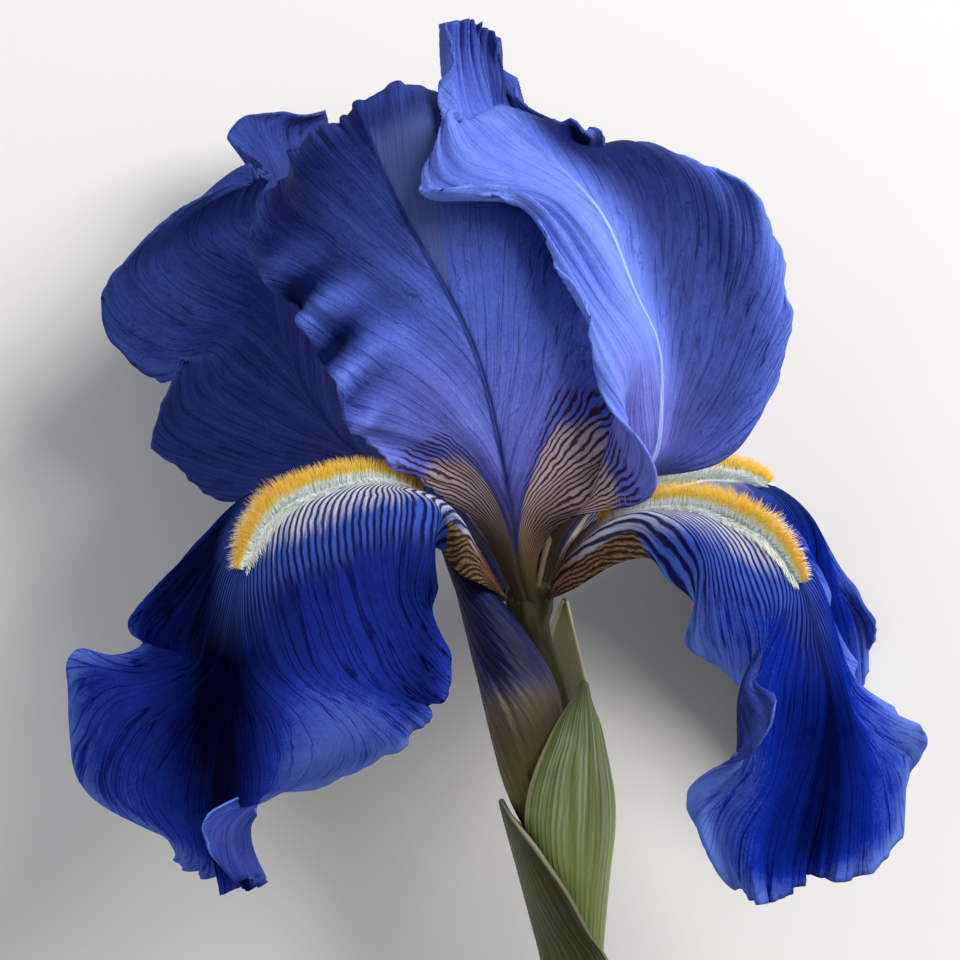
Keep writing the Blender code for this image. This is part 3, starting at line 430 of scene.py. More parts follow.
def fall_marks(form, u, v, _, from_rib):
    """Where a fall is striped: all its haft, then a band beside the beard. Then its flesh: 1 on the
    beard's pale bed, -1 where the haft rolls over and shows its tan underside.

    roll is the side that rolls over, 1 for the right and -1 for the left, and where on v it starts.
    """
    start, end = form["beard"]
    along = (u - start) / (end - start)
    bed = form["bed"] * np.sqrt(np.clip(4 * along * (1 - along), 0, 1))
    near, more = form["stripes"]
    reach = near + more * smooth(along, 1.2, 0.2)
    haft = smooth(along, 0.95, 0.0) * (0.4 + 0.6 * smooth(from_rib, 20.0, 6.0))
    band = smooth(from_rib, bed + reach, bed) * smooth(along, 1.5, 0.6)
    side, line = form["roll"]
    rolled = smooth(side * v, line, line + 0.12) * smooth(u, 0.24, 0.2)
    return np.maximum(haft, band), smooth(from_rib, bed + 0.3, bed - 0.8) * smooth(bed, 0.2, 1.2) - rolled


def grid_faces(rows, columns):
    """Quads of a grid of points, turned so that they face along the grid's down times across."""
    first = np.arange((rows - 1) * columns).reshape(rows - 1, columns)[:, :-1].ravel()
    return np.stack([first, first + columns, first + columns + 1, first + 1], 1)


def ring_faces(rings, sides):
    """Quads of rings of points that close on themselves."""
    i, j = np.meshgrid(np.arange(rings - 1) * sides, np.arange(sides), indexing="ij")
    k = (j + 1) % sides
    return np.stack([i + j, i + k, i + sides + k, i + sides + j], -1).reshape(-1, 4)


def rings_round(across, beside, sides):
    """Unit rings, across cos a + beside sin a, and their angles a."""
    angle = np.arange(sides) / sides * TURN
    turned = np.stack([np.cos(angle), np.sin(angle)])[:, None, :, None]
    return across[:, None] * turned[0] + beside[:, None] * turned[1], angle


def lay_down(points):
    """Points in the flower's frame, in millimetres, taken to the part's frame, in metres."""
    turn = np.array(LAY.to_3x3())
    return points.reshape(-1, 3) * MM @ turn.T + np.array(LAY.translation)


def make_piece(name, points, faces, facts, materials, replaced, caps=()):
    """One finished mesh: its points laid down, its facts as vector attributes and its rides declared."""
    mesh = bpy.data.meshes.new(name)
    mesh.from_pydata(lay_down(points), [], faces.tolist() + list(caps))
    for key, values in facts.items():
        attribute = mesh.attributes.new(key, "FLOAT_VECTOR", "POINT")
        attribute.data.foreach_set("vector", np.ascontiguousarray(values.reshape(-1), np.float32))
    for material in materials:
        mesh.materials.append(material)
    mesh.shade_smooth()
    mesh.validate()
    piece = bpy.data.objects.new(name, mesh)
    bpy.context.scene.collection.objects.link(piece)
    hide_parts(replaced)
    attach(piece, "root")
    return piece


def make_leaf(name, net, form, grid, thickness, materials, replaced):
    """A petal, style arm or bract: a sheet of grid rows and columns, thickened evenly to both sides.

    The far face takes the last material, and the rim the first.
    """
    points, facts = petal_sheet(np.array(net, float), form, *grid)
    piece = make_piece(name, points, grid_faces(*grid), facts, materials, replaced)
    solidify = piece.modifiers.new("thickness", "SOLIDIFY")
    solidify.thickness = thickness * MM
    solidify.offset = 0.0
    solidify.material_offset = len(materials) - 1
    solidify.material_offset_rim = 0


def tube_rings(stations, steps, sides, section):
    """Rings round a smooth line through stations of centre and radius.

    Ring i, angle a: centre + radius * section(a, t) * (across cos a + beside sin a), where across and
    beside are square to the line, and across is also square to z.
    """
    stations = np.array(stations, float)
    t = np.linspace(0, 1, steps)
    line = spline_weights(len(stations), t * (len(stations) - 1)) @ stations
    tangent = unit(np.gradient(line[:, :3], axis=0))
    across = unit(np.cross(np.broadcast_to((0.0, 0.0, 1.0), tangent.shape), tangent))
    ring, angle = rings_round(across, np.cross(tangent, across), sides)
    scale = line[:, 3:] * section(angle[None, :], t[:, None])
    return line[:, None, :3] + ring * scale[..., None], t, angle


# ---------------------------------------------------------------- shader parts


class Nodes:
    """Writes a node tree: each method adds a node or a few, and gives back the last one's output."""

    def __init__(self, tree):
        self.tree = tree

    def put(self, socket, value):
        """Link an output to a socket, or set the socket's own value."""
        if isinstance(value, bpy.types.NodeSocket):
            self.tree.links.new(value, socket)
        elif socket.type == "RGBA":
            socket.default_value = (*tuple(value)[:3], 1.0)
        else:
            socket.default_value = value

    def add(self, kind, inputs, **settings):
        """The node itself, with its settings and inputs."""
        node = self.tree.nodes.new(kind)
        for key, value in settings.items():
            setattr(node, key, value)
        for key, value in inputs.items():
            self.put(node.inputs[key], value)
        return node

    def math(self, operation, *values):
        return self.add("ShaderNodeMath", dict(enumerate(values)), operation=operation).outputs[0]

    def times(self, *values):
        return functools.reduce(functools.partial(self.math, "MULTIPLY"), values)

    def plus(self, *values):
        return functools.reduce(functools.partial(self.math, "ADD"), values)

    def centred(self, value):
        """A value less a half, so that noise swings about 0."""
        return self.math("SUBTRACT", value, 0.5)

    def mix(self, share, first, second, blend="MIX"):
        node = self.add("ShaderNodeMix", {0: share, 6: first, 7: second}, data_type="RGBA", blend_type=blend)
        return node.outputs[2]

    def span(self, value, low, high, start=0.0, end=1.0):
        """Smoothly from start at low to end at high."""
        inputs = {0: value, 1: low, 2: high, 3: start, 4: end}
        return self.add("ShaderNodeMapRange", inputs, interpolation_type="SMOOTHSTEP").outputs[0]

    def fact(self, name):
        """The three numbers of a vector attribute."""
        vector = self.add("ShaderNodeAttribute", {}, attribute_name=name).outputs["Vector"]
        return self.add("ShaderNodeSeparateXYZ", {0: vector}).outputs

    def place(self):
        """Object coordinates."""
        return self.add("ShaderNodeTexCoord", {}).outputs["Object"]

    def noise(self, scale, detail=2.0, roughness=0.5, vector=None):
        """Noise over the piece, or over another vector."""
        vector = self.place() if vector is None else vector
        inputs = {"Vector": vector, "Scale": scale, "Detail": detail, "Roughness": roughness}
        return self.add("ShaderNodeTexNoise", inputs).outputs["Fac"]

    def ramp(self, share, stops):
        """A colour ramp with (place, colour) stops."""
        node = self.add("ShaderNodeValToRGB", {0: share})
        stripe = node.color_ramp.elements
        while len(stripe) < len(stops):
            stripe.new(0.5)
        for element, (place, colour) in zip(stripe, stops):
            element.position = place
            element.color = (*colour, 1.0)
        return node.outputs[0]

    def group(self, name, *values):
        """A node group placed with its own values, in the order of its sockets."""
        tree = bpy.data.node_groups[name]
        return self.add("ShaderNodeGroup", dict(enumerate(values)), node_tree=tree).outputs


class Finish(Nodes):
    """A new material, whose even values are set on its Principled shader's own sockets."""

    def __init__(self, name, **constants):
        self.material = bpy.data.materials.new(name)
        self.material.use_nodes = True
        super().__init__(self.material.node_tree)
        self.shade(**constants)

    def shade(self, **values):
        """Set or link sockets of the shader, with _ for a space in their names; gives the material."""
        shader = self.tree.nodes["Principled BSDF"]
        for socket, value in values.items():
            self.put(shader.inputs[socket.replace("_", " ")], value)
        return self.material


def start_group(name, inputs, outputs, kind="NodeSocketFloat"):
    """An empty node group of float inputs; gives its writer, its input and its output sockets."""
    tree = bpy.data.node_groups.new(name, "ShaderNodeTree")
    for socket in inputs:
        tree.interface.new_socket(socket, in_out="INPUT", socket_type="NodeSocketFloat")
    for socket in outputs:
        tree.interface.new_socket(socket, in_out="OUTPUT", socket_type=kind)
    return Nodes(tree), tree.nodes.new("NodeGroupInput").outputs, tree.nodes.new("NodeGroupOutput").inputs


def build_vein_lines():
    """Vein lines: 1 where Line * Count, bent by noise, is within Width of a whole number."""
    n, given, result = start_group("Vein lines", ("Line", "Count", "Width", "Wander"), ("Mask",))
    bend = n.times(n.centred(n.noise(200.0, 3.0)), given["Wander"])
    turn = n.plus(n.times(given["Line"], given["Count"]), bend)
    away = n.times(n.math("PINGPONG", turn, 0.5), 2.0)
    n.put(result["Mask"], n.span(away, n.times(given["Width"], 0.35), given["Width"], 1.0, 0.0))


def build_veins():
    """Veins: noise drawn out along the veins, so it varies fast across them and slowly along.

    Streak is the noise itself; Line is 1 where it is within Width of its middle value, which gives
    thin lines that wander, fork and join.
    """
    n, given, result = start_group("Veins", ("Line", "Along", "Fine", "Long", "Width"), ("Streak", "Line"))
    inputs = {0: n.times(given["Line"], given["Fine"]), 1: n.times(given["Along"], given["Long"]), 2: 0.0}
    streak = n.noise(1.0, vector=n.add("ShaderNodeCombineXYZ", inputs).outputs[0])
    off = n.math("ABSOLUTE", n.centred(streak))
    n.put(result["Streak"], streak)
    n.put(result["Line"], n.span(off, n.times(given["Width"], 0.2), given["Width"], 1.0, 0.0))


def build_relief():
    """Relief: a normal bent by a height in millimetres and by a fine cell grain."""
    sockets = ("Height", "Grain", "Grain size")
    n, given, result = start_group("Relief", sockets, ("Normal",), "NodeSocketVector")
    grain = n.noise(n.math("DIVIDE", 1000.0, given["Grain size"]))
    height = n.plus(given["Height"], n.times(grain, given["Grain"]))
    bump = n.add("ShaderNodeBump", {"Height": height, "Distance": MM, "Strength": 1.0})
    n.put(result["Normal"], bump.outputs[0])


def scaled(colour, share):
    """A colour made darker or lighter."""
    return tuple(value * share for value in colour)


# ---------------------------------------------------------------- finishes

# Colours that all petals share, where their finish calls for them.
TONE_STOPS = (0.0, 0.45, 1.0)
BLUSH = (1.5, 0.86, 0.9)
CLAW_FOOT = (0.07, 0.06, 0.035)
STRIPE_HAZE = (0.06, 0.15, 0.62)
HAFT_TANS = ((0.20, 0.12, 0.06), (0.34, 0.22, 0.12))
HAFT_VEINS = (0.04, 0.012, 0.012)
# The bud's colours from its foot to where its navy starts.
BUD_STOPS = (
    (0.0, (0.045, 0.052, 0.005)),
    (0.24, (0.12, 0.105, 0.014)),
    (0.38, (0.10, 0.07, 0.03)),
    (0.46, (0.14, 0.11, 0.08)),
    (0.52, (0.08, 0.085, 0.18)),
)
# Noise scales of a petal's mottling, from clouds to cells.
DRIFT_SCALE = 70.0
CRINKLE_SCALE = 330.0
GRAIN_SCALE = 2300.0


def petal_finish(name, tones, pale, ground, lines, veins, stripe, rib, sheen, shine=0.12, warm=0.0, haze=0.5):
    """Petal: three tones led by how light it is, its own colour with painted light and shade added, forked
    veins, silk or velvet, and a striped claw.

    tones are the deep, middle and light colours; pale is (colour, share) of the beard's bed on a fall
    and of the pane on a standard, painted light that shows through the petal.
    ground and lines are the colours between and in the claw's stripes, above its foot and at it;
    veins is how dark the veins are and stripe is (width, wander) of the claw's stripes.
    rib is (colour, half width, height in mm where it fades out) of the rib; sheen is (weight, colour)
    and shine the specular level; warm is how far the blade blushes towards its foot, and haze how blue
    the stripes' surroundings are.
    """
    n = Finish(name, Roughness=0.55, Specular_IOR_Level=shine, Sheen_Weight=sheen[0],
               Sheen_Roughness=0.4, Sheen_Tint=sheen[1])
    line, _, vein = n.fact("place")
    edge, from_rib, from_base = n.fact("reach")
    tone, striped, flesh = n.fact("marks")
    drift = n.centred(n.noise(DRIFT_SCALE))
    crinkle = n.centred(n.noise(CRINKLE_SCALE, 3.0, 0.6))
    grain = n.centred(n.noise(GRAIN_SCALE, 2.0, 0.6))
    vein = n.plus(vein, n.times(drift, 0.03))
    main = n.group("Veins", vein, from_rib, 30.0, 0.03, 0.02)
    twigs = n.group("Veins", vein, from_rib, 95.0, 0.08, 0.03)
    silk = n.group("Veins", vein, from_rib, 430.0, 0.7, 0.1)["Streak"]
    strands = n.group("Vein lines", line, 0.5, 0.14, stripe[1])["Mask"]

    streaks = ((main["Streak"], 0.16), (twigs["Streak"], 0.12), (silk, 0.16))
    # tone carries the painted light and shade of the tone tables, the rim and the tucks.
    level = n.plus(tone, *(n.times(n.centred(part), strength) for part, strength in streaks))
    even = n.span(tone, 0.0, 0.5, 0.3, 1.0)
    mottles = ((drift, 0.22), (crinkle, 0.24), (grain, 0.26))
    level = n.plus(level, *(n.times(part, strength, even) for part, strength in mottles))
    forks = n.plus(n.times(main["Line"], 0.8), n.times(twigs["Line"], 0.6, n.span(edge, 18.0, 3.0)))
    faint = n.span(n.plus(main["Streak"], drift), 0.35, 0.65, 0.15, 0.7)
    dark = n.times(n.math("MAXIMUM", forks, n.times(strands, faint)), n.span(tone, 0.0, 0.5, 0.2, 1.0), veins)
    colour = n.ramp(n.math("SUBTRACT", level, dark), list(zip(TONE_STOPS, tones)))

    blush = n.times(n.span(n.plus(from_base, n.times(drift, 20.0)), 54.0, 24.0), warm)
    colour = n.mix(blush, colour, BLUSH, "MULTIPLY")
    foot = n.span(n.plus(from_base, n.times(drift, 10.0)), 22.0, 8.0)
    colour = n.mix(n.times(foot, warm), colour, CLAW_FOOT)
    hue, half, top = rib
    near_rib = n.times(n.span(from_rib, half, half * 0.4), n.span(from_rib, 0.0, half * 0.3, 0.45, 1.0),
                       n.span(from_base, 10.0, 30.0), n.span(from_base, top + 15.0, top))
    colour = n.mix(n.times(near_rib, 0.85), colour, hue)

    zebra = n.group("Vein lines", line, 1.0, *stripe)["Mask"]
    feather = n.plus(n.times(drift, 0.4), n.times(n.centred(twigs["Streak"]), 0.7))
    band = n.plus(striped, n.times(feather, n.span(striped, 0.0, 0.3)))
    paint = n.mix(foot, ground[1], ground[0])
    shaded = n.span(n.plus(silk, twigs["Streak"]), 0.8, 1.3, 0.0, 0.5)
    paint = n.mix(shaded, paint, scaled(ground[0], 0.5))
    colour = n.mix(n.times(n.span(band, 0.0, 0.5), haze), colour, STRIPE_HAZE)
    colour = n.mix(n.span(band, 0.6, 1.05), colour, paint)
    ink = n.mix(foot, lines[1], lines[0])
    colour = n.mix(n.times(zebra, n.span(band, 0.0, 0.22), 0.94), colour, ink)
    # On a fall this paints the beard's pale bed; on a standard, the pane of painted light showing through the
    # petal.
    colour = n.mix(n.times(n.span(flesh, 0.0, 1.0), pale[1]), colour, pale[0])
    fine = n.group("Vein lines", line, 2.6, 0.8, 3.5)["Mask"]
    tan = n.mix(n.times(fine, 0.9), n.mix(n.span(grain, -0.1, 0.1), *HAFT_TANS), HAFT_VEINS)
    colour = n.mix(n.span(flesh, -0.2, -0.7), colour, tan)

    heights = ((main["Line"], -0.04), (silk, 0.05), (crinkle, 0.22), (main["Streak"], 0.25))
    height = n.plus(*(n.times(part, strength) for part, strength in heights))
    return n.shade(Base_Color=colour, Normal=n.group("Relief", height, 0.03, 0.25)["Normal"])


def standard_finish(name, tones, rib):
    """Standard: silk, with maroon veins on cream at the claw."""
    # The pale grey is the pane's painted light that shows through the petal.
    return petal_finish(name, tones, pale=((0.08, 0.11, 0.28), 0.7),
                        ground=((0.26, 0.19, 0.06), (0.76, 0.58, 0.56)),
                        lines=((0.06, 0.014, 0.010), (0.05, 0.011, 0.022)), veins=0.28, stripe=(0.62, 3.0),
                        rib=rib, sheen=(0.05, (0.35, 0.5, 1.0)), shine=0.03, warm=0.8)


def beard_finish(name):
    """Beard hairs: pale at the root; the crest's are golden at the tip, and brown deep in the throat.

    They let some light through, which a weak glow of their own colour stands in for.
    """
    n = Finish(name, Roughness=0.6, Specular_IOR_Level=0.1, Emission_Strength=0.06)
    n.material.cycles.emission_sampling = "NONE"
    up, throat, golden = n.fact("hair")
    pale = n.mix(up, (0.80, 0.90, 0.92), (0.96, 0.98, 0.94))
    tip = n.mix(n.span(up, 0.6, 1.0), (0.92, 0.66, 0.002), (0.84, 0.46, 0.0))
    colour = n.mix(n.times(n.span(up, 0.40, 0.62), golden), pale, tip)
    colour = n.mix(n.times(throat, n.span(up, 0.0, 0.5, 0.4, 0.9)), colour, (0.26, 0.09, 0.008))
    return n.shade(Base_Color=colour, Emission_Color=colour)


def leaf_finish(name, green, pale, dark, dry, foot):
    """Bract green: raised parallel veins, a waxy bloom in streaks and a thin papery margin.

    dark is the colour of its veins and of the painted shade on one side, and dry that of its margin;
    foot is (colour, mm from the tip where it starts, share) of its lower end.
    """
    n = Finish(name, Specular_IOR_Level=0.4)
    _, across, _ = n.fact("place")
    edge, _, from_tip = n.fact("reach")
    rows = n.times(across, 13.0)
    streaks = n.group("Veins", rows, from_tip, 1.1, 0.03, 0.05)["Streak"]
    lines = n.group("Vein lines", rows, 1.0, 0.5, 0.8)["Mask"]
    colour = n.mix(n.span(streaks, 0.42, 0.62), green, pale)
    colour = n.mix(n.times(lines, 0.32), colour, dark)
    cloud = n.noise(90.0, 4.0)
    colour = n.mix(n.times(n.span(cloud, 0.45, 0.75), 0.5), colour, dark)
    # Painted shade: across the bract, one side darkens towards dark.
    colour = n.mix(n.span(across, 0.7, -0.9, 0.0, 0.5), colour, dark)
    colour = n.mix(n.span(from_tip, foot[1], foot[1] + 18.0, 0.0, foot[2]), colour, foot[0])
    colour = n.mix(n.times(n.span(edge, 0.9, 0.25), 0.85), colour, dry)
    height = n.plus(n.times(lines, -0.10), n.times(streaks, 0.10))
    return n.shade(Base_Color=colour, Roughness=n.span(streaks, 0.3, 0.7, 0.32, 0.55),
                   Normal=n.group("Relief", height, 0.02, 0.4)["Normal"])


def bud_finish(name):
    """The bud: furled navy petals with violet edges, a pale brown throat and an olive foot."""
    n = Finish(name, Sheen_Weight=0.06, Sheen_Tint=(0.4, 0.5, 1.0), Specular_IOR_Level=0.3)
    height, turn, lap = n.fact("place")
    streaks = n.group("Veins", turn, height, 22.0, 1.6, 0.05)["Streak"]
    navy = n.mix(n.span(streaks, 0.35, 0.65), (0.0008, 0.001, 0.012), (0.003, 0.008, 0.10))
    navy = n.mix(n.times(n.span(lap, 0.55, 0.1), 0.5), navy, (0.013, 0.02, 0.15))
    level = n.plus(height, n.times(n.centred(streaks), 0.10))
    base = n.ramp(level, BUD_STOPS)
    return n.shade(Base_Color=n.mix(n.span(level, 0.45, 0.56), base, navy),
                   Roughness=n.span(streaks, 0.3, 0.7, 0.4, 0.6),
                   Normal=n.group("Relief", n.times(streaks, 0.25), 0.02, 0.4)["Normal"])


def stem_finish(name, green, pale, cut):
    """Stem: green under a waxy bloom, faintly ribbed, with a pale cut end dotted with fibres."""
    n = Finish(name, Specular_IOR_Level=0.4)
    length, turn, core = n.fact("place")
    streaks = n.group("Veins", turn, length, 9.0, 0.05, 0.05)["Streak"]
    colour = n.mix(n.span(streaks, 0.35, 0.65), green, pale)
    bloom = n.noise(60.0, 4.0)
    colour = n.mix(n.times(n.span(bloom, 0.45, 0.7), 0.5), colour, scaled(pale, 1.25))
    fibres = n.add("ShaderNodeTexVoronoi", {"Vector": n.place(), "Scale": 1100.0}).outputs["Distance"]
    flesh = n.mix(n.span(fibres, 0.30, 0.15), cut, scaled(cut, 0.45))
    return n.shade(Base_Color=n.mix(core, colour, flesh), Roughness=n.span(streaks, 0.3, 0.7, 0.4, 0.6),
                   Normal=n.group("Relief", n.times(streaks, 0.12), 0.02, 0.5)["Normal"])


def pollen_finish(name):
    """Stamen: cream, with a grain of pollen on the anther."""
    n = Finish(name, Roughness=0.75)
    _, _, anther = n.fact("place")
    grain = n.noise(2500.0)
    colour = n.mix(anther, (0.42, 0.33, 0.24), n.mix(grain, (0.55, 0.45, 0.25), (0.85, 0.78, 0.55)))
    return n.shade(Base_Color=colour, Normal=n.group("Relief", n.times(grain, 0.1), 0.03, 0.3)["Normal"])


def stage_finish(name, colour):
    """Plain pale board with a barely visible grain."""
    n = Finish(name, Roughness=0.7)
    return n.shade(Base_Color=n.mix(n.times(n.noise(900.0), 0.06), colour, scaled(colour, 0.9)))


# ---------------------------------------------------------------- settings


def tint(name, description, default):
    """A colour that the user may change."""
    return FloatVectorProperty(name=name, description=description, subtype="COLOR", default=default)


class IrisPetals(bpy.types.PropertyGroup):
    thickness: FloatProperty(name="Thickness", description="Thickness of a petal, in mm", default=0.4)
    ruffle: FloatProperty(name="Ruffle", description="How strongly the margins ruffle", default=1.0)
    rows: IntProperty(name="Rows", description="Points along a petal", default=200)
    columns: IntProperty(name="Columns", description="Points across a petal", default=121)
    standard_light: tint("Standard, light", "A standard where it is palest", (0.19, 0.30, 0.92))
    standard_middle: tint("Standard, middle", "A standard's main colour", (0.07, 0.12, 0.50))
    standard_deep: tint("Standard, deep", "A standard where it is deepest", (0.005, 0.009, 0.08))
    fall_light: tint("Fall, light", "A fall's pale margin", (0.11, 0.19, 0.64))
    fall_middle: tint("Fall, middle", "A fall's main colour", (0.004, 0.022, 0.31))
    fall_deep: tint("Fall, deep", "A fall's dark valley", (0.0004, 0.0009, 0.014))


class IrisBeards(bpy.types.PropertyGroup):
    hairs: IntProperty(name="Hairs", description="Hairs in one beard", default=3400)
    length: FloatProperty(name="Length", description="Length of the longest hairs, in mm", default=4.3)
    width: FloatProperty(name="Width", description="Width of a hair at its root, in mm", default=0.15)


class IrisGreens(bpy.types.PropertyGroup):
    thickness: FloatProperty(name="Thickness", description="Thickness of a bract, in mm", default=0.5)
    green: tint("Green", "Colour of bract and stem", (0.27, 0.35, 0.09))
    bloom: tint("Bloom", "Colour of the waxy bloom on the green", (0.56, 0.68, 0.36))


class IrisStage(bpy.types.PropertyGroup):
    floor: tint("Floor", "Colour of the floor", (0.80, 0.79, 0.77))
    key: FloatProperty(name="Key light", description="Power of the key light", default=15.0, unit="POWER")
    fill: FloatProperty(name="Fill light", description="Power of the fill light", default=3.0, unit="POWER")
    sky: FloatProperty(name="Room light", description="Strength of the light from all round", default=0.32)


# ---------------------------------------------------------------- petals

# A form says how a sheet is ruffled and marked. spread, power and fan shape its veins; calm is how
# far up it the ruffles start and reach how many mm they reach in; ruffle, fold, rib and notch are
# heights in mm; a tuck is (u, v, length, width, height in mm), and each tuck also darkens its hollow
# and lightens its ridge as painted shade. tone is how light it is, the petal's own colour together
# with painted light and shade: rows from base to tip, each across it as in its net, and rim how much
# lighter its margin is, partly a painted highlight. lines is the count of stripes, over the veins and
# more at the base; claw is how high they reach, in mm, at the left, the rib and the right. A fall's
# beard is (start, end) on u and bed its half width; its stripes reach (near, more) mm beyond the bed,
# and a painted greyish sheen, one number, is added to its main colour.
PLAIN_FORM = {"seed": 2, "spread": 0.0, "power": 1.0, "fan": (1.0, 1.0), "calm": 0.5, "reach": 1.0,
              "ruffle": 0.0, "fold": 0.0, "rib": 0.0, "notch": 0.0, "rim": 0.0, "tone": ((0.5,) * 5,) * 2,
              "lines": (1, 0), "claw": (0, 0, 0), "marks": standard_marks}
STANDARD_FORM = {**PLAIN_FORM, "spread": 0.5, "power": 0.8, "fan": (0.35, 0.15), "calm": 0.22, "reach": 4.0,
                 "fold": 0.6, "notch": 1.3, "rim": 0.12, "lines": (42, 0)}
FALL_FORM = {**PLAIN_FORM, "spread": 0.58, "power": 0.42, "fan": (0.45, 0.5), "calm": 0.34, "reach": 4.2,
             "ruffle": 0.7, "fold": 0.6, "rib": 0.12, "notch": 0.7, "rim": 0.42, "mist": 0.0,
             "lines": (46, 12), "stripes": (10, 30), "roll": (1, 2.0), "marks": fall_marks, "bed": 3.6}
STYLE_FORM = {**PLAIN_FORM, "seed": 31, "spread": 0.3, "fan": (0.35, 0.15), "calm": 0.45, "reach": 1.6,
              "ruffle": 0.35, "rib": -0.3, "notch": 0.35, "lines": (20, 0), "claw": (7, 7, 7),
              "tone": ((0.4,) * 5, (0.6,) * 5)}

FRONT_TUCKS = (
    (0.83, -0.98, 0.024, 0.30, -1.4), (0.79, -0.98, 0.022, 0.34, 2.4), (0.745, -0.98, 0.022, 0.42, -3.0),
    (0.70, -0.98, 0.022, 0.46, 3.2), (0.655, -0.98, 0.022, 0.40, -2.6), (0.61, -0.98, 0.02, 0.30, 1.8),
    (0.57, -0.98, 0.02, 0.26, -1.2),
)
# The front standard's tone is its own lightness with painted light and shade: darker at its upper left, which
# turns from the key light, and lighter at its right.
FRONT_SHADED_TONE = (
    (0.4,) * 5,
    (0.45, 0.5, 0.5, 0.5, 0.7),
    (0.72, 0.72, 0.56, 0.58, 0.84),
    (0.36, 0.52, 0.5, 0.46, 0.8),
    (0.0, 0.16, 0.24, 0.3, 0.3),
    (0.0, 0.0, 0.0, 0.08, 0.2),
)
# The right standard's tone is its own lightness with painted light and shade: the rolled flap left of the rib
# is painted light, and the wing right of it is painted dark as shaded.
RIGHT_SHADED_TONE = (
    (0.4,) * 9,
    (0.5, 0.55, 0.62, 0.62, 0.55, 0.34, 0.3, 0.3, 0.3),
    (0.8, 0.88, 0.92, 0.92, 0.86, 0.32, 0.24, 0.26, 0.5),
    (0.74, 0.82, 0.84, 0.86, 0.84, 0.2, 0.1, 0.14, 0.8),
    (0.66, 0.68, 0.68, 0.7, 0.7, 0.12, 0.0, 0.0, 0.35),
    (0.66, 0.66, 0.66, 0.6, 0.56, 0.2, 0.0, 0.0, 0.32),
    (0.3, 0.3, 0.3, 0.3, 0.3, 0.15, 0.06, 0.04, 0.2),
)
# The left standard's tone is dark all over, partly its own colour and partly painted shade, as it stands back
# from the key light.
LEFT_SHADED_TONE = (
    (0.2,) * 5,
    (0.2, 0.2, 0.18, 0.2, 0.2),
    (0.22, 0.18, 0.08, 0.06, 0.14),
    (0.26, 0.1, 0.0, 0.02, 0.14),
    (0.2, 0.16, 0.12, 0.16, 0.22),
    (0.2,) * 5,
)
# The left fall's tone is the velvet's own dark valley beside the rib, with its lobes lifted partly as painted
# light and sheen.
LEFT_FALL_SHADED_TONE = (
    (0.3,) * 5,
    (0.3,) * 5,
    (0.12, 0.06, 0.2, 0.26, 0.16),
    (0.04, 0.04, 0.08, 0.28, 0.1),
    (0.4, 0.18, 0.0, 0.58, 0.26),
    (0.5, 0.38, 0.0, 0.72, 0.84),
    (0.46, 0.38, 0.12, 0.45, 0.5),
)
# The right fall's tone is its own dark core and bright margin, with parts lifted as painted light and sheen
# where the key light leaves them dim.
RIGHT_FALL_SHADED_TONE = (
    (0.3,) * 5,
    (0.8, 0.5, 0.4, 0.3, 0.3),
    (1.0, 0.6, 0.45, 0.3, 0.3),
    (1.0, 0.54, 0.42, 0.38, 0.34),
    (0.76, 0.5, 0.4, 0.46, 0.56),
    (0.86, 0.52, 0.08, 0.42, 0.7),
    (0.76, 0.38, 0.18, 0.5, 0.72),
)
BACK_FALL_TONE = (
    (0.3,) * 5,
    (0.6, 0.5, 0.4, 0.4, 0.4),
    (0.9, 0.7, 0.3, 0.5, 0.6),
)
# The front standard's pane is painted light that shows through it, a grey wedge right of its rib.
STANDARDS = {
    "front": (FRONT_STANDARD, {"seed": 3, "ruffle": 0.5, "rib": 0.25, "claw": (32, 12, 35),
                               "pane": (0.68, 2.0), "tucks": FRONT_TUCKS, "tone": FRONT_SHADED_TONE}),
    "right": (RIGHT_STANDARD, {"seed": 8, "ruffle": 1.2, "rib": -0.35, "claw": (31, 12, 14),
                               "tone": RIGHT_SHADED_TONE}),
    "left": (LEFT_STANDARD, {"seed": 5, "ruffle": 0.6, "rim": 0.04, "rib": 0.2, "claw": (8, 8, 8),
                             "tone": LEFT_SHADED_TONE}),
}
FALLS = {
    "left": (LEFT_FALL, {"seed": 11, "mist": 0.010, "beard": (0.165, 0.475), "roll": (1, 0.62),
                         "tone": LEFT_FALL_SHADED_TONE}),
    "right": (RIGHT_FALL, {"seed": 17, "stripes": (8, 15), "lines": (24, 8), "beard": (0.17, 0.60),
                           "roll": (-1, 0.62), "tone": RIGHT_FALL_SHADED_TONE}),
    "back": (BACK_FALL, {"seed": 23, "beard": (0.18, 0.52), "tone": BACK_FALL_TONE}),
}
# The height at which a rib's colour fades out lies beyond the tip where it runs the whole way.
WHOLE_RIB = 200.0
KEEL_TOP = 66.0


def make_petal(name, net, form, materials):
    """One petal, at the sizes that the settings give."""
    petals = bpy.context.scene.iris_petals
    form = {**form, "ruffle": form["ruffle"] * petals.ruffle}
    grid = (petals.rows, petals.columns)
    make_leaf(name + "_petal", net, form, grid, petals.thickness, materials, name)


class IRIS_OT_standards(bpy.types.Operator):
    """Grow the three upright standards"""

    bl_idname = "iris.standards"
    bl_label = "Standards"

    def execute(self, context):
        petals = context.scene.iris_petals
        tones = (tuple(petals.standard_deep), tuple(petals.standard_middle), tuple(petals.standard_light))
        # The keel's pale line along the right standard's rib is a painted highlight on its ridge, fading out
        # at KEEL_TOP.
        keeled = standard_finish("standard_silk_keeled", tones, ((0.45, 0.58, 0.98), 0.45, KEEL_TOP))
        grooved = standard_finish("standard_silk_grooved", tones, ((0.012, 0.022, 0.14), 0.75, WHOLE_RIB))
        for side, (net, own) in STANDARDS.items():
            face = keeled if side == "right" else grooved
            make_petal("standard_" + side, net, {**STANDARD_FORM, **own}, [face])
        return {"FINISHED"}


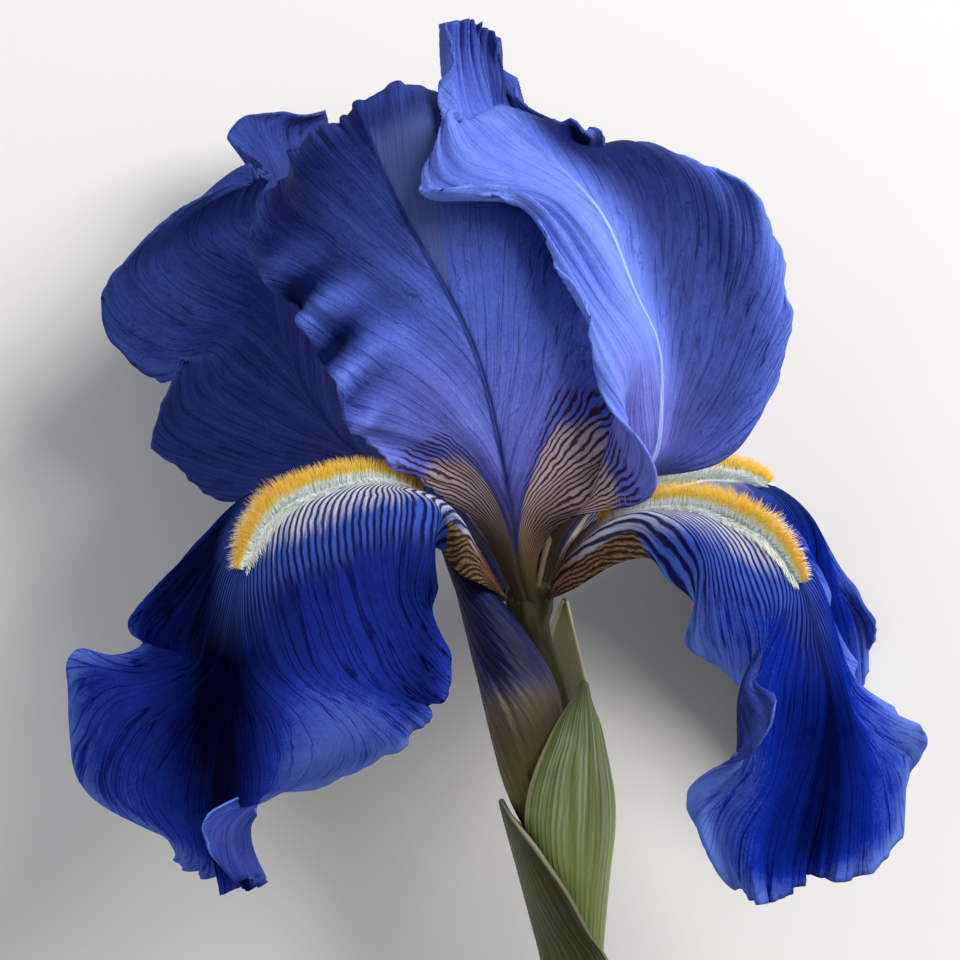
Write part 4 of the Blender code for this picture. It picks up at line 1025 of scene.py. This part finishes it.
class IRIS_OT_falls(bpy.types.Operator):
    """Grow the three hanging falls"""

    bl_idname = "iris.falls"
    bl_label = "Falls"

    def execute(self, context):
        petals = context.scene.iris_petals
        deep, middle, light = tuple(petals.fall_deep), tuple(petals.fall_middle), tuple(petals.fall_light)
        dull = ((0.003, 0.006, 0.05), (0.009, 0.018, 0.15), (0.026, 0.05, 0.30))
        back = petal_finish("fall_underside", dull,
                            pale=((0.2, 0.25, 0.5), 0.0), ground=((0.30, 0.26, 0.10), (0.30, 0.26, 0.22)),
                            lines=((0.06, 0.02, 0.012), (0.04, 0.015, 0.05)), veins=0.5, stripe=(0.5, 2.5),
                            rib=((0.05, 0.08, 0.26), 0.5, WHOLE_RIB), sheen=(0.1, (0.4, 0.5, 1.0)))
        for side, (net, own) in FALLS.items():
            form = {**FALL_FORM, **own}
            # The left fall's main colour is greyed by a painted sheen, standing for light glancing off its
            # velvet.
            tones = (deep, tuple(value + form["mist"] for value in middle), light)
            face = petal_finish("fall_velvet_" + side, tones, pale=((0.84, 0.91, 0.90), 0.96),
                                ground=((0.34, 0.18, 0.10), (0.66, 0.70, 0.84)),
                                lines=((0.028, 0.006, 0.008), (0.008, 0.005, 0.05)), veins=0.34,
                                stripe=(0.68, 1.0), rib=((0.0015, 0.003, 0.03), 0.5, WHOLE_RIB),
                                sheen=(0.02, (0.1, 0.2, 1.0)), shine=0.0)
            make_petal("fall_" + side, net, form, [face, back])
        return {"FINISHED"}


# ---------------------------------------------------------------- beards

HAIR_SIDES = 3
HAIR_TAPER = (1.0, 0.85, 0.6, 0.15)
HAIR_RINGS = len(HAIR_TAPER)
CREST_HALF_WIDTH = 0.7
BED_HALF_WIDTH = 2.4
SIDE_SHARE = 0.24
FIRST_SEED = 40
# How far hairs lean out and forwards, against 1 upwards: side hairs, and those on the crest.
SIDE_LEAN = (2.4, 1.9)
CREST_LEAN = (0.4, 0.25)


def beard_hairs(net, start, end, count, length, width, rng):
    """Hairs along a rib: H(t) = root + length * (t * lean + t^2 * bow), 3-sided and tapering.

    Crest hairs stand on the rib and lean out a little; side hairs root beside it, lie outwards and
    forwards along the petal, and stay pale. Both are longest in the middle of the beard.
    """
    share = rng.random(count)
    u = start + (end - start) * share
    lying = rng.random(count) < SIDE_SHARE
    hand = np.where(rng.random(count) < 0.5, -1.0, 1.0)
    aside = np.where(lying, hand * rng.uniform(0.15, 1.0, count) * BED_HALF_WIDTH,
                     rng.normal(0.0, 0.55, count).clip(-1.3, 1.3) * CREST_HALF_WIDTH)
    swell = np.clip(4 * share * (1 - share) + 0.12, 0, 1) ** 0.5
    aside = aside * swell

    def at(down, over):
        """The petal's surface down and over from each hair's place on the rib."""
        return net_pairs(net, u + down, np.full(count, 0.5 + over))

    near = 0.01
    beside = unit(at(0, near) - at(0, -near))
    ahead = unit(at(near, 0) - at(-near, 0))
    out = unit(np.cross(ahead, beside))
    root = at(0, 0) + beside * aside[:, None]
    splay = np.where(lying, hand * SIDE_LEAN[0], aside / CREST_HALF_WIDTH * CREST_LEAN[0])
    splay = splay + rng.normal(0, 0.10, count)
    forward = np.where(lying, SIDE_LEAN[1], CREST_LEAN[1]) + rng.normal(0, 0.10, count)
    lean = unit(out + beside * splay[:, None] + ahead * forward[:, None])
    tall = length * swell ** 0.7 * rng.uniform(0.8, 1.08, count) * np.where(lying, 0.8, 1.0)
    bow = ahead * rng.normal(0.05, 0.08, count)[:, None] + beside * rng.normal(0, 0.07, count)[:, None]
    t = np.linspace(0, 1, HAIR_RINGS)[:, None]
    line = root[:, None] + tall[:, None, None] * (t * lean[:, None] + t ** 2 * bow[:, None])
    first = unit(np.cross(lean, ahead + 0.01))
    ring, _ = rings_round(first, np.cross(lean, first), HAIR_SIDES)
    radius = 0.5 * width * np.array(HAIR_TAPER)
    points = line[:, :, None] + ring[:, None] * radius[None, :, None, None]
    golden = np.where(lying, rng.random(count) < 0.06, 1.0) * rng.uniform(0.8, 1.0, count)
    facts = np.broadcast_arrays(t, smooth(share, 0.2, 0.0)[:, None, None], golden[:, None, None],
                                points[..., 0])[:3]
    return points, np.stack(facts, -1)


class IRIS_OT_beards(bpy.types.Operator):
    """Plant the beards of hair on the falls"""

    bl_idname = "iris.beards"
    bl_label = "Beards"

    def execute(self, context):
        beards = context.scene.iris_beards
        gold = beard_finish("beard_gold")
        per_hair = HAIR_RINGS * HAIR_SIDES
        starts = np.arange(beards.hairs)[:, None] * per_hair
        faces = (ring_faces(HAIR_RINGS, HAIR_SIDES)[None] + starts[..., None]).reshape(-1, 4)
        tips = starts + np.arange(per_hair - HAIR_SIDES, per_hair)
        roots = starts + np.arange(HAIR_SIDES)[::-1]
        caps = tips.tolist() + roots.tolist()
        for seed, (side, (net, form)) in enumerate(FALLS.items(), FIRST_SEED):
            points, facts = beard_hairs(np.array(net, float), *form["beard"], beards.hairs, beards.length,
                                        beards.width, np.random.default_rng(seed))
            make_piece("beard_hairs_" + side, points, faces, {"hair": facts}, [gold], "beard_" + side,
                       caps)
        return {"FINISHED"}


# ---------------------------------------------------------------- inner parts

# Rows and columns of points, or rings and sides, of the smaller pieces.
STYLE_GRID = (60, 33)
STAMEN_GRID = (40, 16)
BUD_GRID = (140, 160)
BRACT_GRID = (110, 49)
STEM_GRID = (200, 56)
OVARY_GRID = (90, 72)


def strap_net(centres, across, half_widths, cup):
    """A net for a strap along a centre line: centre + side * half * v + out * cup * half * v^2."""
    centres = np.array(centres, float)
    tangents = np.gradient(centres, axis=0)
    side = unit(np.array(across, float))
    half = np.array(half_widths)[:, None, None]
    v = np.array((-1, -0.5, 0, 0.5, 1))[None, :, None]
    out = unit(np.cross(tangents, side))[:, None]
    return centres[:, None] + side * half * v + out * cup * half * v ** 2


class IRIS_OT_style_arms(bpy.types.Operator):
    """Grow the three style arms that arch over the hafts"""

    bl_idname = "iris.style_arms"
    bl_label = "Style arms"

    def execute(self, context):
        tones = ((0.12, 0.09, 0.22), (0.30, 0.24, 0.50), (0.50, 0.46, 0.78))
        face = standard_finish("style_violet", tones, ((0.40, 0.34, 0.60), 0.6, WHOLE_RIB))
        for side, centres in STYLE_ARMS.items():
            net = strap_net(centres, STYLE_ACROSS[side], STYLE_HALF_WIDTHS, STYLE_CUP)
            make_leaf("style_" + side, net, STYLE_FORM, STYLE_GRID, STYLE_THICKNESS, [face],
                      "style_arm_" + side)
        return {"FINISHED"}


def closed_tube(name, stations, grid, section, facts, material, replaced, cut=()):
    """A tube of rings closed by a cap at each end; facts(t, angle) gives its three numbers.

    cut holds the sizes of the rings that lie in a flat cut end, as shares of the last ring. Their
    third number is 1.
    """
    points, t, angle = tube_rings(stations, *grid, section)
    values = np.stack(facts(*np.broadcast_arrays(t[:, None], angle[None])), -1)
    end, end_values = points[-1:], values[-1:] * (1, 1, 0) + (0, 0, 1)
    middle = end.mean(axis=1)
    points = np.concatenate([points, *(middle + (end - middle) * share for share in cut)])
    values = np.concatenate([values, *(end_values for _ in cut)])
    rings, sides = points.shape[:2]
    caps = [list(range(sides))[::-1], list(range((rings - 1) * sides, rings * sides))]
    make_piece(name, points, ring_faces(rings, sides), {"place": values}, [material], replaced, caps)


class IRIS_OT_stamens(bpy.types.Operator):
    """Grow the three stamens under the style arms"""

    bl_idname = "iris.stamens"
    bl_label = "Stamens"

    def execute(self, context):
        pollen = pollen_finish("stamen_cream")
        radii = (FILAMENT_RADIUS, FILAMENT_RADIUS, ANTHER_RADIUS, FILAMENT_RADIUS)

        def section(angle, t):
            """Two lobes along the anther: 1 + 0.25 cos 2a."""
            return 1 + 0.25 * smooth(t, 0.45, 0.6) * np.cos(2 * angle)

        def facts(t, angle):
            return t, angle / TURN, smooth(t, 0.5, 0.58)

        for side, line in STAMENS.items():
            stations = np.column_stack([line, radii])
            closed_tube("stamen_hull_" + side, stations, STAMEN_GRID, section, facts, pollen,
                        "stamen_" + side)
        return {"FINISHED"}


# ---------------------------------------------------------------- bud, bracts and stem

BUD_LAPS = 3
BUD_TWIST = 0.42
LAP_HEIGHT = 0.10
GROOVE_DEPTH = 0.012


def bud_lap(angle, t):
    """How far across its petal a point of the bud lies: the part turns of angle and twist, over the laps."""
    turned = angle / TURN * BUD_LAPS + (t - 0.5) * BUD_TWIST * BUD_LAPS
    return turned - np.floor(turned)


class IRIS_OT_bud(bpy.types.Operator):
    """Roll up the bud"""

    bl_idname = "iris.bud"
    bl_label = "Bud"

    def execute(self, context):
        def section(angle, t):
            """Each petal laps over the next: the radius falls by a tenth across it and steps up at its
            edge. Fine grooves wind round it, a sine with 22 turns round and 9 along.
            """
            lap = bud_lap(angle, t)
            furled = smooth(t, 0.95, 0.75) * smooth(t, 0.30, 0.5)
            step = smooth(lap, 0.0, 0.06) * (1 - lap)
            grooves = np.sin(TURN * (angle / TURN * 22 + t * 9))
            return 1 + LAP_HEIGHT * furled * (step - 0.5) + GROOVE_DEPTH * grooves

        def facts(t, angle):
            return 1 - t, angle / TURN * BUD_LAPS + t * BUD_TWIST * BUD_LAPS * 2, bud_lap(angle, t)

        closed_tube("bud_furled", BUD, BUD_GRID, section, facts, bud_finish("bud_navy"), "bud")
        return {"FINISHED"}


class IRIS_OT_bracts(bpy.types.Operator):
    """Wrap the bracts and the sheath round the stem"""

    bl_idname = "iris.bracts"
    bl_label = "Bracts"

    def execute(self, context):
        greens = context.scene.iris_greens
        stem = scaled(greens.bloom, 0.7)
        leaf = leaf_finish("bract_green", tuple(greens.green), tuple(greens.bloom), (0.045, 0.07, 0.012),
                           (0.42, 0.36, 0.20), ((0.34, 0.44, 0.08), 14.0, 0.55))
        paper = leaf_finish("bract_papery", (0.95, 0.93, 0.56), (0.96, 0.92, 0.74), (0.78, 0.76, 0.4),
                            (0.94, 0.86, 0.62), (stem, 20.0, 0.5))
        # The sheath's greens are kept very dark, partly its own colour and partly painted shade beside the
        # stem.
        sheath = leaf_finish("sheath_green", (0.05, 0.05, 0.008), (0.11, 0.12, 0.03), (0.02, 0.02, 0.004),
                             (0.50, 0.52, 0.3), (stem, 32.0, 0.9))
        leaves = (("front", FRONT_BRACT, leaf, "bract_front", "bract"),
                  ("rear", REAR_BRACT, paper, "bract_rear", "papery_bract"),
                  ("lower", LOWER_SHEATH, sheath, "stem_sheath", "bract"))
        for name, net, material, node, slot in leaves:
            make_leaf("leaf_" + name, net, PLAIN_FORM, BRACT_GRID, greens.thickness, [material], node)
        return {"FINISHED"}


# The perianth tube closes round the claws as a low dome on the ovary.
PERIANTH_DOME = ((-0.2, 4.6, 0.3, 0.8), (-0.1, 2.0, 0.2, 3.3))
CUT_RINGS = (0.96, 0.6, 0.15)
STREAK_LENGTH = 130.0


class IRIS_OT_stem(bpy.types.Operator):
    """Draw the stem with its cut end, and the ovary under the petals"""

    bl_idname = "iris.stem"
    bl_label = "Stem and ovary"

    def execute(self, context):
        greens = context.scene.iris_greens
        green = stem_finish("stem_waxy", tuple(greens.green), tuple(greens.bloom), (0.50, 0.56, 0.30))
        olive = stem_finish("ovary_olive", (0.05, 0.045, 0.012), (0.12, 0.10, 0.04), (0.3, 0.3, 0.2))

        def ribbed(angle, _):
            """Faint ribs: 1 + 0.012 cos 14a."""
            return 1 + 0.012 * np.cos(14 * angle)

        def lobed(angle, _):
            """Three lobes with a groove each: 1 + 0.05 cos 3a - 0.03 cos 6a."""
            return 1 + 0.05 * np.cos(3 * angle) - 0.03 * np.cos(6 * angle)

        def facts(t, angle):
            return t * STREAK_LENGTH, angle / TURN, np.zeros_like(t)

        closed_tube("stem_stalk", STEM, STEM_GRID, ribbed, facts, green, "stem", CUT_RINGS)
        closed_tube("ovary_lobed", PERIANTH_DOME + OVARY, OVARY_GRID, lobed, facts, olive, "ovary")
        return {"FINISHED"}


# ---------------------------------------------------------------- stage

# Each light's direction in the flower's frame, its distance and size in metres, and its colour.
LIGHTS = {
    "key": ((0.70, 0.66, 0.60), 1.1, 0.7, (1.0, 0.98, 0.95)),
    "fill": ((-0.8, 0.1, 0.8), 1.2, 0.9, (0.9, 0.94, 1.0)),
}
SKY_COLOUR = (0.95, 0.97, 1.0, 1.0)
FLOOR_CORNERS = [(-3.0, -3.0, 0), (3.0, -3.0, 0), (3.0, 3.0, 0), (-3.0, 3.0, 0)]


def add_area_light(name, power, direction, distance, size, colour):
    """A square soft light that looks at the flower's middle from a direction in the flower's frame."""
    light = bpy.data.lights.new(name, "AREA")
    light.size = size
    light.energy = power
    light.color = colour
    lamp = bpy.data.objects.new(name, light)
    middle = LAY @ (Vector((*VIEW_CENTRE, 0.0)) * MM)
    away = (LAY.to_3x3() @ Vector(direction)).normalized()
    lamp.location = middle + away * distance
    lamp.rotation_mode = "QUATERNION"
    lamp.rotation_quaternion = away.to_track_quat("Z", "Y")
    bpy.context.scene.collection.objects.link(lamp)


class IRIS_OT_stage(bpy.types.Operator):
    """Lay the floor, light the flower and set the camera"""

    bl_idname = "iris.stage"
    bl_label = "Stage"

    def execute(self, context):
        stage = context.scene.iris_stage
        mesh = bpy.data.meshes.new("floor")
        mesh.from_pydata(FLOOR_CORNERS, [], [(0, 1, 2, 3)])
        mesh.materials.append(stage_finish("floor_pale", tuple(stage.floor)))
        floor = bpy.data.objects.new("floor", mesh)
        context.scene.collection.objects.link(floor)

        for name, shape in LIGHTS.items():
            add_area_light(name, getattr(stage, name), *shape)
        world = bpy.data.worlds.new("room")
        world.use_nodes = True
        sky = world.node_tree.nodes["Background"]
        sky.inputs["Color"].default_value = SKY_COLOUR
        sky.inputs["Strength"].default_value = stage.sky
        context.scene.world = world
        context.scene.view_settings.view_transform = "Standard"

        camera = bpy.data.cameras.new("camera")
        camera.sensor_width = SENSOR_WIDTH
        camera.lens = SENSOR_WIDTH * VIEW_DISTANCE / VIEW_WIDTH
        camera.clip_end = FARTHEST_SEEN
        eye = bpy.data.objects.new("camera", camera)
        eye.matrix_world = LAY @ Matrix.Translation(Vector((*VIEW_CENTRE, VIEW_DISTANCE)) * MM)
        context.scene.collection.objects.link(eye)
        context.scene.camera = eye
        return {"FINISHED"}


class IRIS_PT_panel(bpy.types.Panel):
    """The iris's pieces and settings"""

    bl_label = "Iris"
    bl_idname = "IRIS_PT_panel"
    bl_space_type = "VIEW_3D"
    bl_region_type = "UI"
    bl_category = "Iris"

    def draw(self, context):
        for name in SETTINGS:
            for key in getattr(context.scene, name).__annotations__:
                self.layout.prop(getattr(context.scene, name), key)
        for operator in OPERATORS:
            self.layout.operator(operator.bl_idname)


SETTINGS = {"iris_petals": IrisPetals, "iris_beards": IrisBeards, "iris_greens": IrisGreens,
            "iris_stage": IrisStage}
OPERATORS = (IRIS_OT_standards, IRIS_OT_falls, IRIS_OT_beards, IRIS_OT_style_arms, IRIS_OT_stamens,
             IRIS_OT_bud, IRIS_OT_bracts, IRIS_OT_stem, IRIS_OT_stage)


def register():
    for thing in (*SETTINGS.values(), *OPERATORS, IRIS_PT_panel):
        bpy.utils.register_class(thing)
    for name, settings in SETTINGS.items():
        setattr(bpy.types.Scene, name, PointerProperty(type=settings))


def unregister():
    for name in SETTINGS:
        delattr(bpy.types.Scene, name)
    for thing in reversed((*SETTINGS.values(), *OPERATORS, IRIS_PT_panel)):
        bpy.utils.unregister_class(thing)


def main():
    """Build the shared shader groups and run every operator in order."""
    register()
    build_vein_lines()
    build_veins()
    build_relief()
    for operator in OPERATORS:
        group, name = operator.bl_idname.split(".")
        getattr(getattr(bpy.ops, group), name)()
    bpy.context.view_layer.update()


if __name__ == "__main__":
    main()
